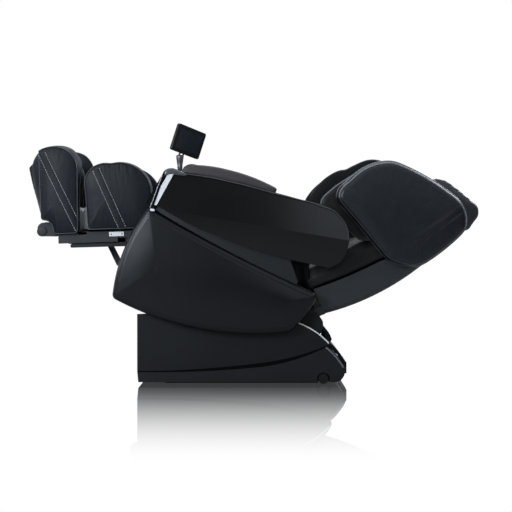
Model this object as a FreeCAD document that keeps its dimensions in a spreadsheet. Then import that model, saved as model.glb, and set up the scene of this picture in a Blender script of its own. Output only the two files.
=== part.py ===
import FreeCAD, Part
import os
import re
import Sketcher

# Reclining massage chair, drawn lying back with its legs raised.
# Origin: centre of the base on the floor. The feet point to -X, the head to +X, +Z is up.
# The pieces named left lie at -Y, on the sitter's left hand.

doc = FreeCAD.newDocument("MassageChair")
sheet = doc.addObject("Spreadsheet::Sheet", "Sizes")

sizes = {
    # pivots of the moving assemblies and the angles of the drawn pose
    "tilt_x": 150, "tilt_z": 260, "seat_tilt": 18,
    "knee_x": 569, "knee_z": 230, "leg_turn": 20,
    "arm_x": 617, "arm_z": 299, "arm_turn": 8.5,
    "hip_x": 58, "hip_z": 113, "back_turn": 44,
    # layers across the chair, counted outwards from the middle
    "back_half": 262, "side_gap": 4, "plate_thick": 6, "arm_gap": 4, "core_width": 54,
    "slot_gap": 5, "fairing_thick": 10, "arm_skin": 28, "shell_gap": 34, "shell_depth": 56,
    "cover_depth": 24, "leg_half": 235, "wing_depth": 68, "wing_roll": 28,
    # fits
    "fit": 0.3, "bore_fit": 0.1,
    # base
    "base_half": 430, "base_high": 180, "floor_gap": 12, "tray_inset": 30, "rear_block": 54,
    "tray_rim": 30, "tray_sheet": 4, "plinth_wall": 4, "notch_inset": 118,
    "notch_deep": 30, "strip_width": 40, "strip_length": 640,
    "wheel_inset": 92, "wheel_high": 26, "wheel_radius": 22, "wheel_width": 18, "axle_radius": 5,
    "arch_radius": 26, "cover_high": 300, "front_sheet": 4, "slope_foot": 330, "slope_head": 246,
    "rear_half": 180, "inlet_width": 48, "inlet_high": 32, "switch_length": 26, "switch_high": 18,
    "recess_out": 3, "inlet_y": 60, "inlet_z": 60, "switch_y": 30, "switch_pin": 1.5,
    # rails and carriage
    "rail_front": 240, "rail_inset": 8, "rail_web": 226, "rail_lip": 26, "rail_sheet": 4,
    "rail_high": 94, "track_low": 56, "track_high": 30,
    "carriage_half": 190, "carriage_front": 160, "carriage_rear": 210, "carriage_top": 122,
    "carriage_skirt": 44, "carriage_sheet": 4, "roller_width": 16, "roller_axle": 6,
    "front_axle": 120, "rear_axle": 170, "ear_half": 184, "ear_thick": 10, "ear_radius": 32,
    # seat
    "tilt_radius": 12, "knee_radius": 10, "hip_radius": 12, "seat_half": 256,
    "shell_length": 800, "shell_high": 430, "shell_wall": 4, "shell_corner": 24, "shell_round": 22, "boss_radius": 9,
    "fairing_length": 700, "fairing_high": 280,
    # arms
    "arm_length": 830, "arm_high": 280, "arm_wall": 4, "crease_high": -9, "arm_lean": 20,
    "strip_wide": 22, "bezel_wide": 20, "fold_high": 22, "arm_pad_half": 36, "knuckle_radius": 15,
    # tablet
    "tablet_x": 81, "tablet_z": 283, "tablet_y": 312, "tablet_turn": 8.5, "tablet_yaw": 49,
    "tablet_width": 164, "tablet_high": 112, "tablet_thick": 12, "tablet_rim": 15,
    "screen_thick": 1.5, "stalk_radius": 10, "stalk_length": 76, "button_radius": 3, "button_travel": 1.5,
    # back
    "back_length": 850, "back_high": 140, "back_wall": 4, "back_round": 34, "back_rail": 6,
    "pad_rise": 112, "pad_front": 45, "pillow_half": 150, "pillow_rise": 56,
    "massage_x": 150, "massage_z": 55, "massage_half": 200, "massage_long": 110,
    "knead_radius": 20, "knead_high": 16, "knead_apart": 72, "knead_axle": 8,
    # legs
    "calf_length": 330, "calf_high": 280, "foot_length": 560, "foot_high": 370,
    "lobe_width": 62, "ridge_half": 24, "calf_floor": 72, "foot_floor": 62,
    "frame_half": 206, "frame_front": 330, "frame_sheet": 3,
    "slide_play": 0.3, "slide_front": 449, "slide_rear": 200,
    "roll_x": 524, "roll_drop": 3, "roll_radius": 21, "roll_half": 160,
    "lever_x": 223, "lever_drop": 151, "lever_thick": 14, "pin_radius": 6,
    # leg actuator
    "motor_x": 230, "motor_z": 85, "motor_radius": 19, "motor_length": 245, "rod_radius": 9,
    "rod_length": 270, "rod_reach": 462, "motor_angle": 7.6,
}
for row, (alias, value) in enumerate(sizes.items(), 1):
    sheet.set("A%d" % row, alias)
    sheet.set("B%d" % row, str(value))
    sheet.setAlias("B%d" % row, alias)
doc.recompute()


def sized(text):
    return re.sub(r"[a-z_]+", lambda word: "Sizes." + word[0] if word[0] in sizes else word[0], str(text))


def measure(text):
    return float(sheet.evalExpression(sized(text)))


def bind(thing, **links):
    for name, text in links.items():
        thing.setExpression(name.replace("__", "."), sized(text))


# lengths along the base
plinth_rear = "(base_half - rear_block)"
tray_rear = "(base_half - rear_block - plinth_wall)"
tray_front = "(base_half - tray_inset)"
rail_rear = "(base_half - rear_block - rail_inset)"
notch_x = "(base_half - notch_inset)"
wheel_x = "(base_half - wheel_inset)"

# layers across the chair
plate_in = "(back_half + side_gap)"
plate_out = "(back_half + side_gap + plate_thick)"
core_in = "(back_half + side_gap + plate_thick + arm_gap)"
core_out = "(back_half + side_gap + plate_thick + arm_gap + core_width)"
fairing_in = "(back_half + side_gap + plate_thick + arm_gap + core_width + slot_gap)"
arm_in = "(back_half + side_gap + plate_thick + arm_gap + core_width + 2 * slot_gap + fairing_thick)"
arm_out = arm_in[:-1] + " + arm_skin)"
shell_in = "(back_half + side_gap + plate_thick + shell_gap)"
shell_out = shell_in[:-1] + " + shell_depth)"
cover_in = core_in
cover_out = core_in[:-1] + " + cover_depth)"


# Axes of the moving assemblies.

def axes(name, parent, x, z, turn, y="0", yaw="0"):
    frame = doc.addObject("App::Placement", name)
    step = "placement(vector(%s; %s; %s); rotation(vector(0; 1; 0); %s))" % (x, y, z, turn)
    if parent:
        step = parent + ".Placement * " + step
    if yaw != "0":
        step += " * placement(vector(0; 0; 0); rotation(vector(0; 0; 1); %s))" % yaw
    frame.setExpression("Placement", sized(step))
    return name


seat = axes("seat_axes", None, "tilt_x", "tilt_z", "seat_tilt")
leg = axes("leg_axes", seat, "-knee_x", "knee_z", "-leg_turn")
arm = axes("arm_axes", seat, "-arm_x", "arm_z", "-arm_turn")
back = axes("back_axes", seat, "hip_x", "hip_z", "-back_turn")
motor = axes("motor_axes", seat, "-motor_x", "motor_z", "-motor_angle")
stand = axes("stand_axes", arm, "tablet_x", "tablet_z", "tablet_turn", "-tablet_y")
tablet = axes("tablet_axes", stand, "0", "0", "0", yaw="tablet_yaw")
massage = axes("massage_axes", back, "massage_x", "-massage_z", "0")
doc.recompute()

nodes = []


def keep(piece):
    nodes.append(piece)
    return piece


def settle(piece, frame, x="0", y="0", z="0", turn=None):
    step = "placement(vector(%s; %s; %s)" % (x, y, z)
    step += "; rotation(vector(%s); %s))" % turn if turn else "; rotation(vector(0; 0; 1); 0))"
    if frame:
        step = frame + ".Placement * " + step
    piece.setExpression("Placement", sized(step))
    return piece


# Sketches and features.

def new_body(label, frame=None):
    body = doc.addObject("PartDesign::Body", label)
    if frame:
        settle(body, frame)
    return body


def via(across, up):
    return (across, up, "middle of an arc")


def outline(body, name, points, across="1", up="1", offset="0", plane="XZ_Plane", shift="0", lift="0"):
    sketch = body.newObject("Sketcher::SketchObject", name)
    support = [plan for plan in body.Origin.OriginFeatures if plan.Role == plane][0]
    sketch.AttachmentSupport = [(support, "")]
    sketch.MapMode = "FlatFace"
    bind(sketch, AttachmentOffset__Base__x=shift, AttachmentOffset__Base__y=lift,
         AttachmentOffset__Base__z=offset)
    ends = []
    middles = []
    for point in points:
        x = point[0] if isinstance(point[0], str) else "%s * %g" % (across, point[0])
        z = point[1] if isinstance(point[1], str) else "%s * %g" % (up, point[1])
        if len(point) == 3:
            middles[-1] = (x, z)
        else:
            ends.append((x, z))
            middles.append(None)
    places = [FreeCAD.Vector(measure(x), measure(z), 0) for x, z in ends]
    heads = []
    for i, start in enumerate(places):
        stop = places[(i + 1) % len(places)]
        if middles[i]:
            middle = FreeCAD.Vector(measure(middles[i][0]), measure(middles[i][1]), 0)
            clockwise = (middle - start).cross(stop - middle).z < 0
            sketch.addGeometry(Part.Arc(*((stop, middle, start) if clockwise else (start, middle, stop))))
        else:
            sketch.addGeometry(Part.LineSegment(start, stop))
        heads.append(1 if (sketch.Geometry[i].StartPoint - start).Length < 0.001 else 2)

    def pin(edge, end, place):
        for axis, text in zip(("DistanceX", "DistanceY"), place):
            number = sketch.addConstraint(Sketcher.Constraint(axis, -1, 1, edge, end, measure(text)))
            sketch.setExpression("Constraints[%d]" % number, sized(text))

    for i, head in enumerate(heads):
        after = (i + 1) % len(heads)
        sketch.addConstraint(Sketcher.Constraint("Coincident", i, 3 - head, after, heads[after]))
        pin(i, head, ends[i])
    for i, middle in enumerate(middles):
        if middle:
            place = FreeCAD.Vector(measure(middle[0]), measure(middle[1]), 0)
            point = sketch.addGeometry(Part.Point(place), True)
            pin(point, 1, middle)
            sketch.addConstraint(Sketcher.Constraint("PointOnObject", point, 1, i))
    return sketch


def circles(body, name, places, radius, offset="0", plane="XZ_Plane"):
    sketch = body.newObject("Sketcher::SketchObject", name)
    support = [plan for plan in body.Origin.OriginFeatures if plan.Role == plane][0]
    sketch.AttachmentSupport = [(support, "")]
    sketch.MapMode = "FlatFace"
    bind(sketch, AttachmentOffset__Base__z=offset)
    for i, (x, z) in enumerate(places):
        middle = FreeCAD.Vector(measure(x), measure(z), 0)
        sketch.addGeometry(Part.Circle(middle, FreeCAD.Vector(0, 0, 1), measure(radius)))
        for kind, text in (("DistanceX", x), ("DistanceY", z)):
            number = sketch.addConstraint(Sketcher.Constraint(kind, -1, 1, i, 3, measure(text)))
            sketch.setExpression("Constraints[%d]" % number, sized(text))
        number = sketch.addConstraint(Sketcher.Constraint("Radius", i, measure(radius)))
        sketch.setExpression("Constraints[%d]" % number, sized(radius))
    return sketch


def pad(body, sketch, length, both=False, back=False):
    feature = body.newObject("PartDesign::Pad", sketch.Name + "_pad")
    feature.Profile = sketch
    feature.Midplane = both
    feature.Reversed = back
    bind(feature, Length=length)
    doc.recompute()
    return feature


def pocket(body, sketch, length=None, both=False, back=False):
    doc.recompute()
    before = body.Shape.Volume
    feature = body.newObject("PartDesign::Pocket", sketch.Name + "_pocket")
    feature.Profile = sketch
    feature.Midplane = both
    feature.Reversed = back
    if length:
        bind(feature, Length=length)
    else:
        feature.Type = "ThroughAll"
    doc.recompute()
    if not body.Shape.Volume < before - 1:
        raise ValueError(sketch.Name + " cuts nothing")
    return feature


def pick(shape, test):
    return ["Edge%d" % i for i, edge in enumerate(shape.Edges, 1) if test(edge.BoundBox)]


def fillet(body, name, radius, test):
    base = body.Tip
    feature = body.newObject("PartDesign::Fillet", name)
    feature.Base = (base, pick(base.Shape, test))
    bind(feature, Radius=radius)
    doc.recompute()
    return feature


def hollow(body, name, wall, test):
    base = body.Tip
    faces = ["Face%d" % i for i, face in enumerate(base.Shape.Faces, 1) if test(face.BoundBox)]
    feature = body.newObject("PartDesign::Thickness", name)
    feature.Base = (base, faces)
    feature.Mode = 0
    feature.Join = 0
    feature.Reversed = True
    bind(feature, Value=wall)
    doc.recompute()
    return feature


def beyond(y):
    return lambda box: box.YMax < -measure(y) + 0.05


def crosswise(box):
    return box.XLength < 0.01 and box.ZLength < 0.01


def mirrored(label, source):
    twin = doc.addObject("Part::Mirroring", label)
    twin.Source = source
    twin.Normal = (0, 1, 0)
    return keep(twin)


def block(label, frame, x, y, z, length, width, height):
    piece = doc.addObject("Part::Box", label)
    bind(piece, Length=length, Width=width, Height=height)
    return settle(piece, frame, x, y, z)


def crossbar(label, frame, x, z, radius, start, stop):
    piece = doc.addObject("Part::Cylinder", label)
    bind(piece, Radius=radius, Height="%s - (%s)" % (stop, start))
    return settle(piece, frame, x, start, z, ("-1; 0; 0", "90"))


def fused(label, pieces):
    union = doc.addObject("Part::MultiFuse", label)
    union.Shapes = pieces
    return union


def rectangle(left, low, right, high):
    return [(left, low), (left, high), (right, high), (right, low)]


# Base.

plan = [("-" + tray_front, "-" + cover_out + " + plinth_wall + fit"),
        ("-" + tray_front, cover_out + " - plinth_wall - fit"),
        (notch_x, cover_out + " - plinth_wall - fit"),
        (notch_x, cover_out + " - notch_deep - plinth_wall"),
        (tray_rear, cover_out + " - notch_deep - plinth_wall"),
        (tray_rear, "-" + cover_out + " + notch_deep + plinth_wall"),
        (notch_x, "-" + cover_out + " + notch_deep + plinth_wall"),
        (notch_x, "-" + cover_out + " + plinth_wall + fit")]
inside = [("-" + tray_front + " + tray_sheet", "-" + cover_out + " + plinth_wall + fit + tray_sheet"),
          ("-" + tray_front + " + tray_sheet", cover_out + " - plinth_wall - fit - tray_sheet"),
          (notch_x + " - tray_sheet", cover_out + " - plinth_wall - fit - tray_sheet"),
          (notch_x + " - tray_sheet", cover_out + " - notch_deep - plinth_wall - tray_sheet"),
          (tray_rear + " - tray_sheet", cover_out + " - notch_deep - plinth_wall - tray_sheet"),
          (tray_rear + " - tray_sheet", "-" + cover_out + " + notch_deep + plinth_wall + tray_sheet"),
          (notch_x + " - tray_sheet", "-" + cover_out + " + notch_deep + plinth_wall + tray_sheet"),
          (notch_x + " - tray_sheet", "-" + cover_out + " + plinth_wall + fit + tray_sheet")]
floor_top = "(floor_gap + tray_sheet)"
track = "(floor_gap + tray_sheet + track_low)"

frame_body = keep(new_body("base_frame"))
pad(frame_body, outline(frame_body, "tray_plan", plan, offset="floor_gap", plane="XY_Plane"), "tray_rim")
pocket(frame_body, outline(frame_body, "tray_inside", inside, offset="floor_gap + tray_rim",
                           plane="XY_Plane"), "tray_rim - tray_sheet")
rail = [("-rail_web", floor_top), ("-rail_web", floor_top + " + rail_high"),
        ("-rail_web + rail_lip", floor_top + " + rail_high"),
        ("-rail_web + rail_lip", floor_top + " + rail_high - rail_sheet"),
        ("-rail_web + rail_sheet", floor_top + " + rail_high - rail_sheet"),
        ("-rail_web + rail_sheet", track + " + rail_sheet"),
        ("-rail_web + rail_lip", track + " + rail_sheet"),
        ("-rail_web + rail_lip", track),
        ("-rail_web + rail_sheet", track),
        ("-rail_web + rail_sheet", floor_top + " + rail_sheet"),
        ("-rail_web + rail_lip", floor_top + " + rail_sheet"),
        ("-rail_web + rail_lip", floor_top)]
for side in (1, -1):
    points = [(y if side > 0 else "-(%s)" % y, z) for y, z in rail]
    name = "rail_section_%s" % ("left" if side > 0 else "right")
    pad(frame_body, outline(frame_body, name, points, offset="-rail_front", plane="YZ_Plane"),
        "rail_front + " + rail_rear)
pocket(frame_body, circles(frame_body, "wheel_axle_bore", [(wheel_x, "wheel_high")],
                           "axle_radius + fit"), "2 * " + cover_out, both=True)

strips = []
for side in ("left", "right"):
    y = "-rail_web" if side == "left" else "rail_web - strip_width"
    strips.append(block("floor_strip_" + side, None, "-strip_length / 2", y, "0",
                        "strip_length", "strip_width", "floor_gap"))
strips.append(block("floor_strip_middle", None, "-strip_width / 2", "-rail_web + strip_width", "0",
                    "strip_width", "2 * (rail_web - strip_width)", "floor_gap"))
keep(fused("rubber_feet", strips))

# The skirt's top edge is the wave that the covers above it follow.
wave = [(-0.998, 0.306), via(-0.395, 0.322), (0.081, 0.4), via(0.512, 0.589), (0.82, 0.889)]
plinth = keep(new_body("base_plinth"))
skirt = [(-0.988, "floor_gap")] + wave + [via(0.92, 0.66), (0.99, 0.42), via(0.98, 0.2), (0.925, "floor_gap")]
pad(plinth, outline(plinth, "skirt", skirt, "base_half", "base_high"), "2 * " + cover_out, both=True)
room = rectangle("-base_half + plinth_wall + 2", "-" + cover_out + " + plinth_wall",
                 plinth_rear, cover_out + " - plinth_wall")
pocket(plinth, outline(plinth, "skirt_inside", room, plane="XY_Plane"), back=True)
arch = circles(plinth, "wheel_arch", [(wheel_x, "wheel_high")], "arch_radius")
pocket(plinth, arch, "2 * %s + 2" % cover_out, both=True)

wheels = [crossbar("wheel_axle", None, wheel_x, "wheel_high", "axle_radius",
                   "-" + cover_out + " + plinth_wall + 1", cover_out + " - plinth_wall - 1")]
for side, start in (("left", "-" + cover_out + " + plinth_wall + 2"),
                    ("right", cover_out + " - plinth_wall - 2 - wheel_width")):
    tyre = crossbar("tyre_" + side, None, wheel_x, "wheel_high", "wheel_radius",
                    start, start + " + wheel_width")
    rounded = doc.addObject("Part::Fillet", "tyre_round_" + side)
    rounded.Base = tyre
    doc.recompute()
    rounded.Edges = [(i, 3, 3) for i, edge in enumerate(tyre.Shape.Edges, 1) if edge.Closed]
    wheels.append(rounded)
keep(fused("transport_wheels", wheels))

cover = keep(new_body("base_cover_left"))
panel = [(-0.998, "0.306 * base_high + fit"), via(-0.395, "0.322 * base_high + fit"),
         (0.081, "0.4 * base_high + fit"), via(0.512, "0.589 * base_high + fit"),
         (0.82, "0.889 * base_high + fit"), (0.845, 0.567), via(0.721, 0.735), (0.551, 0.86),
         via(-0.14, 0.967), (-0.998, 0.973)]
pad(cover, outline(cover, "cover_panel", panel, "base_half", "cover_high", offset=cover_in), "cover_depth")
mirrored("base_cover_right", cover)

front = keep(new_body("base_front_cover"))
slope = [("-slope_foot", "0.306 * base_high + fit"), ("-slope_foot + front_sheet", "0.306 * base_high + fit"),
         ("-slope_head + front_sheet", "0.73 * cover_high"), ("-slope_head", "0.73 * cover_high")]
pad(front, outline(front, "front_slope", slope), "2 * (%s - fit)" % cover_in, both=True)

rear = keep(new_body("base_rear_cover"))
bulge = [("0.822 * base_half", "0.889 * base_high + 2 * fit"), via("0.92 * base_half + 2 * fit", 0.668),
         ("0.998 * base_half + 2 * fit", 0.42), ("0.998 * base_half + 2 * fit", 0.19), (1.028, 0.19), (1.028, 0.44),
         via(0.955, 0.69), (0.868, 0.912), (0.884, 0.99), via(0.842, 1.19), (0.765, 1.35), (0.748, 1.33),
         via(0.806, 1.17)]
pad(rear, outline(rear, "rear_bulge", bulge, "base_half", "base_high"), "2 * rear_half", both=True)

trim = keep(new_body("base_trim_left"))
line = [(0.542, 0.848), via(0.707, 0.725), (0.832, 0.57), (0.842, 0.58), via(0.717, 0.735), (0.548, 0.86)]
pad(trim, outline(trim, "trim_line", line, "base_half", "cover_high", offset=cover_out + " + fit"), "2")
mirrored("base_trim_right", trim)

recess_x = "(base_half + recess_out)"
recess = rectangle("-inlet_y - inlet_width / 2 - 8", "inlet_z - inlet_high / 2 - 8",
                   "switch_y + switch_length / 2 + 8", "inlet_z + inlet_high / 2 + 8")
pocket(rear, outline(rear, "power_recess", recess, plane="YZ_Plane", offset=recess_x), "40", back=True)
keep(block("power_inlet", None, recess_x + " + fit", "-inlet_y - inlet_width / 2", "inlet_z - inlet_high / 2",
           "6", "inlet_width", "inlet_high"))

# The rocker turns on a pin between two cheeks, and its back is a shallow wedge, so that it can tip either way.
cheek = rectangle(recess_x + " - 1", "inlet_z - switch_high / 2 - 2", recess_x + " + 7", "inlet_z + switch_high / 2 + 2")
for side, y in (("near", "-switch_y + switch_length / 2 + fit"), ("far", "-switch_y - switch_length / 2 - fit - 3")):
    pad(rear, outline(rear, "switch_cheek_" + side, cheek, offset=y), "3")
pocket(rear, circles(rear, "switch_bore", [(recess_x + " + 4", "inlet_z")], "switch_pin + bore_fit",
                     "-switch_y - switch_length / 2 - 4"), "switch_length + 8", back=True)
rocker = keep(new_body("power_switch"))
wedge = [(recess_x + " + fit", "inlet_z"), (recess_x + " + 2.5", "inlet_z + switch_high / 2"),
         (recess_x + " + 7.5", "inlet_z + switch_high / 2"), via(recess_x + " + 6", "inlet_z"),
         (recess_x + " + 7.5", "inlet_z - switch_high / 2"), (recess_x + " + 2.5", "inlet_z - switch_high / 2")]
pad(rocker, outline(rocker, "wedge", wedge, offset="-switch_y - switch_length / 2"), "switch_length")
pad(rocker, circles(rocker, "rocker_pin", [(recess_x + " + 4", "inlet_z")], "switch_pin",
                    "-switch_y - switch_length / 2 - 2"), "switch_length + 4")

# Carriage.

carriage = keep(new_body("carriage_frame"))
hat = [("-carriage_half", "carriage_top - carriage_skirt"), ("-carriage_half", "carriage_top"),
       ("carriage_half", "carriage_top"), ("carriage_half", "carriage_top - carriage_skirt"),
       ("carriage_half - carriage_sheet", "carriage_top - carriage_skirt"),
       ("carriage_half - carriage_sheet", "carriage_top - carriage_sheet"),
       ("-carriage_half + carriage_sheet", "carriage_top - carriage_sheet"),
       ("-carriage_half + carriage_sheet", "carriage_top - carriage_skirt")]
pad(carriage, outline(carriage, "hat_section", hat, offset="-carriage_front", plane="YZ_Plane"),
    "carriage_front + carriage_rear")
ear = [("tilt_x - 92", "carriage_top"), ("tilt_x - ear_radius", "tilt_z"),
       via("tilt_x", "tilt_z + ear_radius"), ("tilt_x + ear_radius", "tilt_z"),
       ("tilt_x + 56", "carriage_top")]
for side, y in (("left", "ear_half - ear_thick"), ("right", "-ear_half")):
    pad(carriage, outline(carriage, "ear_" + side, ear, offset=y), "ear_thick")
pocket(carriage, circles(carriage, "tilt_bore", [("tilt_x", "tilt_z")], "tilt_radius + bore_fit"),
       "2 * ear_half + 2", both=True)
axle_high = "(%s + rail_sheet + (track_high) / 2)" % track
pocket(carriage, circles(carriage, "axle_bores", [("-front_axle", axle_high), ("rear_axle", axle_high)],
                         "roller_axle + bore_fit"), "2 * carriage_half + 2", both=True)

roller_out = "(rail_web - rail_sheet - 3)"
for name, x in (("front", "-front_axle"), ("rear", "rear_axle")):
    turned = [crossbar(name + "_axle_rod", None, x, axle_high, "roller_axle", "-" + roller_out, roller_out)]
    for side, start in (("left", "-" + roller_out), ("right", roller_out + " - roller_width")):
        turned.append(crossbar("%s_roller_%s" % (name, side), None, x, axle_high,
                               "track_high / 2 - fit", start, start + " + roller_width"))
    keep(fused("carriage_axle_" + name, turned))

# Seat.

plate = keep(new_body("seat_plate_left", seat))
cheek = [("-arm_x - 22", "arm_z - 10"), via("-arm_x", "arm_z + 24"), ("-arm_x + 24", "arm_z + 4"),
         ("-knee_x + 32", "knee_z + 20"), via("-knee_x * 0.5", "(knee_z + hip_z) / 2 + 4"),
         ("hip_x - 32", "hip_z + 8"), via("hip_x", "hip_z + 34"), ("hip_x + 34", "hip_z"),
         ("34", "-10"), via("0", "-36"), ("-34", "-8"),
         via("-knee_x * 0.5", "knee_z * 0.48"), ("-knee_x - 24", "knee_z - 34")]
pad(plate, outline(plate, "cheek", cheek, offset=plate_in), "plate_thick")
pocket(plate, circles(plate, "tilt_hole", [("0", "0")], "tilt_radius + bore_fit", plate_in), "plate_thick", back=True)
pocket(plate, circles(plate, "knee_hole", [("-knee_x", "knee_z")], "knee_radius + bore_fit", plate_in),
       "plate_thick", back=True)
pocket(plate, circles(plate, "hip_hole", [("hip_x", "hip_z")], "hip_radius + bore_fit", plate_in),
       "plate_thick", back=True)
pocket(plate, circles(plate, "arm_hole", [("-arm_x", "arm_z")], "pin_radius + bore_fit", plate_in),
       "plate_thick", back=True)
mirrored("seat_plate_right", plate)

keep(crossbar("tilt_shaft", seat, "0", "0", "tilt_radius", "-" + plate_out, plate_out))
keep(crossbar("knee_shaft", seat, "-knee_x", "knee_z", "knee_radius", "-" + plate_out, plate_out))
keep(crossbar("hip_shaft", seat, "hip_x", "hip_z", "hip_radius", "-" + plate_out, plate_out))

pan = keep(new_body("seat_pan", seat))
bowl = [("-knee_x + 61", "knee_z - 34"), via("-knee_x * 0.46", "hip_z + 15"), ("-20", "84"), ("12", "58"),
        ("15", "61"), ("-18", "88"), via("-knee_x * 0.46", "hip_z + 19"), ("-knee_x + 62", "knee_z - 30")]
pad(pan, outline(pan, "pan_section", bowl), "2 * (%s - fit)" % plate_in, both=True)
lug = [("-motor_x - 22", "hip_z + 15"), ("-motor_x - 16", "motor_z"), via("-motor_x", "motor_z - 16"),
       ("-motor_x + 16", "motor_z"), ("-motor_x + 22", "hip_z + 6")]
for side, y in (("left", "motor_radius + 3"), ("right", "-motor_radius - 9")):
    pad(pan, outline(pan, "lug_" + side, lug, offset=y), "6")
pocket(pan, circles(pan, "lug_bore", [("-motor_x", "motor_z")], "pin_radius + bore_fit"),
       "2 * motor_radius + 20", both=True)

cushion = keep(new_body("seat_cushion", seat))
squab = [("-knee_x + 61.5", "knee_z - 29"), ("-knee_x + 28", "knee_z + 32"),
         via("-knee_x + 12", "knee_z + 62"), ("-knee_x + 60", "knee_z + 70"),
         via("-knee_x * 0.48", "hip_z + 88"), ("-18", "hip_z + 40"), via("18", "hip_z + 20"), ("20", "68")]
pad(cushion, outline(cushion, "squab", squab), "2 * seat_half", both=True)
under = [("-knee_x + 62", "knee_z - 30 + fit"), via("-knee_x * 0.46", "hip_z + 19 + fit"),
         ("-18", "88 + fit"), ("15 + fit", "61 + fit"), ("30", "50"), ("-60", "20"), ("-knee_x + 62", "60")]
pocket(cushion, outline(cushion, "squab_seat", under), "2 * seat_half + 2", both=True)
fillet(cushion, "squab_round", "12", lambda box: box.YLength < 0.01 and box.ZMin > measure("hip_z")
       and box.XLength > 30)

shell = keep(new_body("side_shell_left", seat))
shell_line = [(-0.81, 0.674), via(-0.865, 0.14), (-0.844, -0.26), via(-0.385, -0.29), (0.072, -0.051),
              via(0.12, 0.144), (0.155, 0.372), via(-0.375, 0.507)]
pad(shell, outline(shell, "shell_line", shell_line, "shell_length", "shell_high", offset=shell_in),
    "shell_depth")
fillet(shell, "shell_corners", "shell_corner", crosswise)
fillet(shell, "shell_edge", "shell_round", beyond(shell_out))
hollow(shell, "shell_skin", "shell_wall", lambda box: box.YMin > -measure(shell_in) - 0.05)
bosses = [("-knee_x + 9", "knee_z + 4"), ("-knee_x * 0.53", "knee_z * 0.62"), ("hip_x - 23", "50")]
pad(shell, circles(shell, "bosses", bosses, "boss_radius", plate_out + " + fit"),
    "shell_gap + shell_depth - shell_wall / 2 - fit")
mirrored("side_shell_right", shell)

fairing = keep(new_body("side_fairing_left", seat))
fan = [(-0.88, 1.107), via(-0.486, 1.085), (-0.071, 1.01), (0.035, 0.66), (0.02, 0.3), (-0.5, 0.3), (-0.88, 0.9)]
pad(fairing, outline(fairing, "fan", fan, "fairing_length", "fairing_high", offset=fairing_in), "fairing_thick")
pocket(fairing, outline(fairing, "fan_seat", shell_line, "shell_length", "shell_high",
                        offset=fairing_in + " - 1", lift="fit"), "fairing_thick + 2", back=True)
mirrored("side_fairing_right", fairing)

# Arms.

arm_top = [via(0.398, 0.512), (0.735, 0.425), via(0.86, 0.36), (0.932, 0.18), via(0.957, -0.071),
           (0.93, -0.371), (0.887, -0.468), via(0.501, -0.379), (0.157, -0.164)]
core = keep(new_body("arm_core_left", arm))
core_line = [(0.012, 0.525)] + arm_top + [(-0.014, 0.007), (-0.052, 0.007)]
pad(core, outline(core, "core_line", core_line, "arm_length", "arm_high", offset=core_in),
    "core_width + 2 * slot_gap + fairing_thick")
slot = rectangle("-arm_length", "-arm_high", "arm_length", "fold_high")
pocket(core, outline(core, "fairing_slot", slot, offset=core_out), "2 * slot_gap + fairing_thick + 1", back=True)
keep_front = [("0.012 * arm_length", "0.525 * arm_high"), ("0.012 * arm_length + bezel_wide", "0.527 * arm_high"),
              ("-0.052 * arm_length + bezel_wide", "fold_high * 0.1"), ("-0.052 * arm_length", "0.007 * arm_high")]
pad(core, outline(core, "bezel", keep_front, offset=arm_in + " - slot_gap"), "arm_skin + slot_gap - 3")
hollow_line = [(0.085, 0.14), (0.08, 0.41), (0.36, 0.41), (0.7, 0.3), (0.83, 0.14), (0.84, -0.2), (0.8, -0.3), (0.52, -0.26),
               (0.25, -0.1)]
pocket(core, outline(core, "core_hollow", hollow_line, "arm_length", "arm_high", offset=core_in + " + arm_wall"),
       "core_width + 2 * slot_gap + fairing_thick", back=True)
pad(core, circles(core, "arm_knuckle", [("0", "0")], "knuckle_radius", core_in), "core_width / 4")
pad(core, circles(core, "arm_pin", [("0", "0")], "pin_radius", plate_in), "arm_gap + plate_thick + 2")
mirrored("arm_core_right", core)

skin = keep(new_body("arm_shell_left", arm))
skin_line = [("0.014 * arm_length + bezel_wide + strip_wide", 0.53)] + arm_top + [(0.03, -0.02), ("0.003 * arm_length", 0.007)]
pad(skin, outline(skin, "skin_line", skin_line, "arm_length", "arm_high", offset=arm_in), "arm_skin")
upper = [("-" + arm_out + " - 1", "crease_high"), ("-" + arm_out, "crease_high"),
         ("-" + arm_out + " + arm_lean", "arm_high * 0.56"), ("-" + arm_out + " - 1", "arm_high * 0.56")]
lower = [("-" + arm_out + " - 1", "crease_high"), ("-" + arm_out, "crease_high"),
         ("-" + arm_out + " + arm_lean * 0.8", "-arm_high * 0.5"), ("-" + arm_out + " - 1", "-arm_high * 0.5")]
for name, section in (("upper_facet", upper), ("lower_facet", lower)):
    pocket(skin, outline(skin, name, section, offset="-0.1 * arm_length", plane="YZ_Plane"), "1.2 * arm_length", back=True)
hollow(skin, "skin_wall", "arm_wall", lambda box: box.YMin > -measure(arm_in) - 0.05)
mirrored("arm_shell_right", skin)

strip = keep(new_body("arm_strip_left", arm))
band = [("0.013 * arm_length + bezel_wide + fit", 0.528), ("0.013 * arm_length + bezel_wide + strip_wide - fit", 0.53),
        ("0.002 * arm_length - fit", 0.01), ("-0.052 * arm_length + bezel_wide + fit", 0.01)]
pad(strip, outline(strip, "band", band, "arm_length", "arm_high", offset=arm_in + " + fit"), "arm_skin - 4")
mirrored("arm_strip_right", strip)

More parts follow.
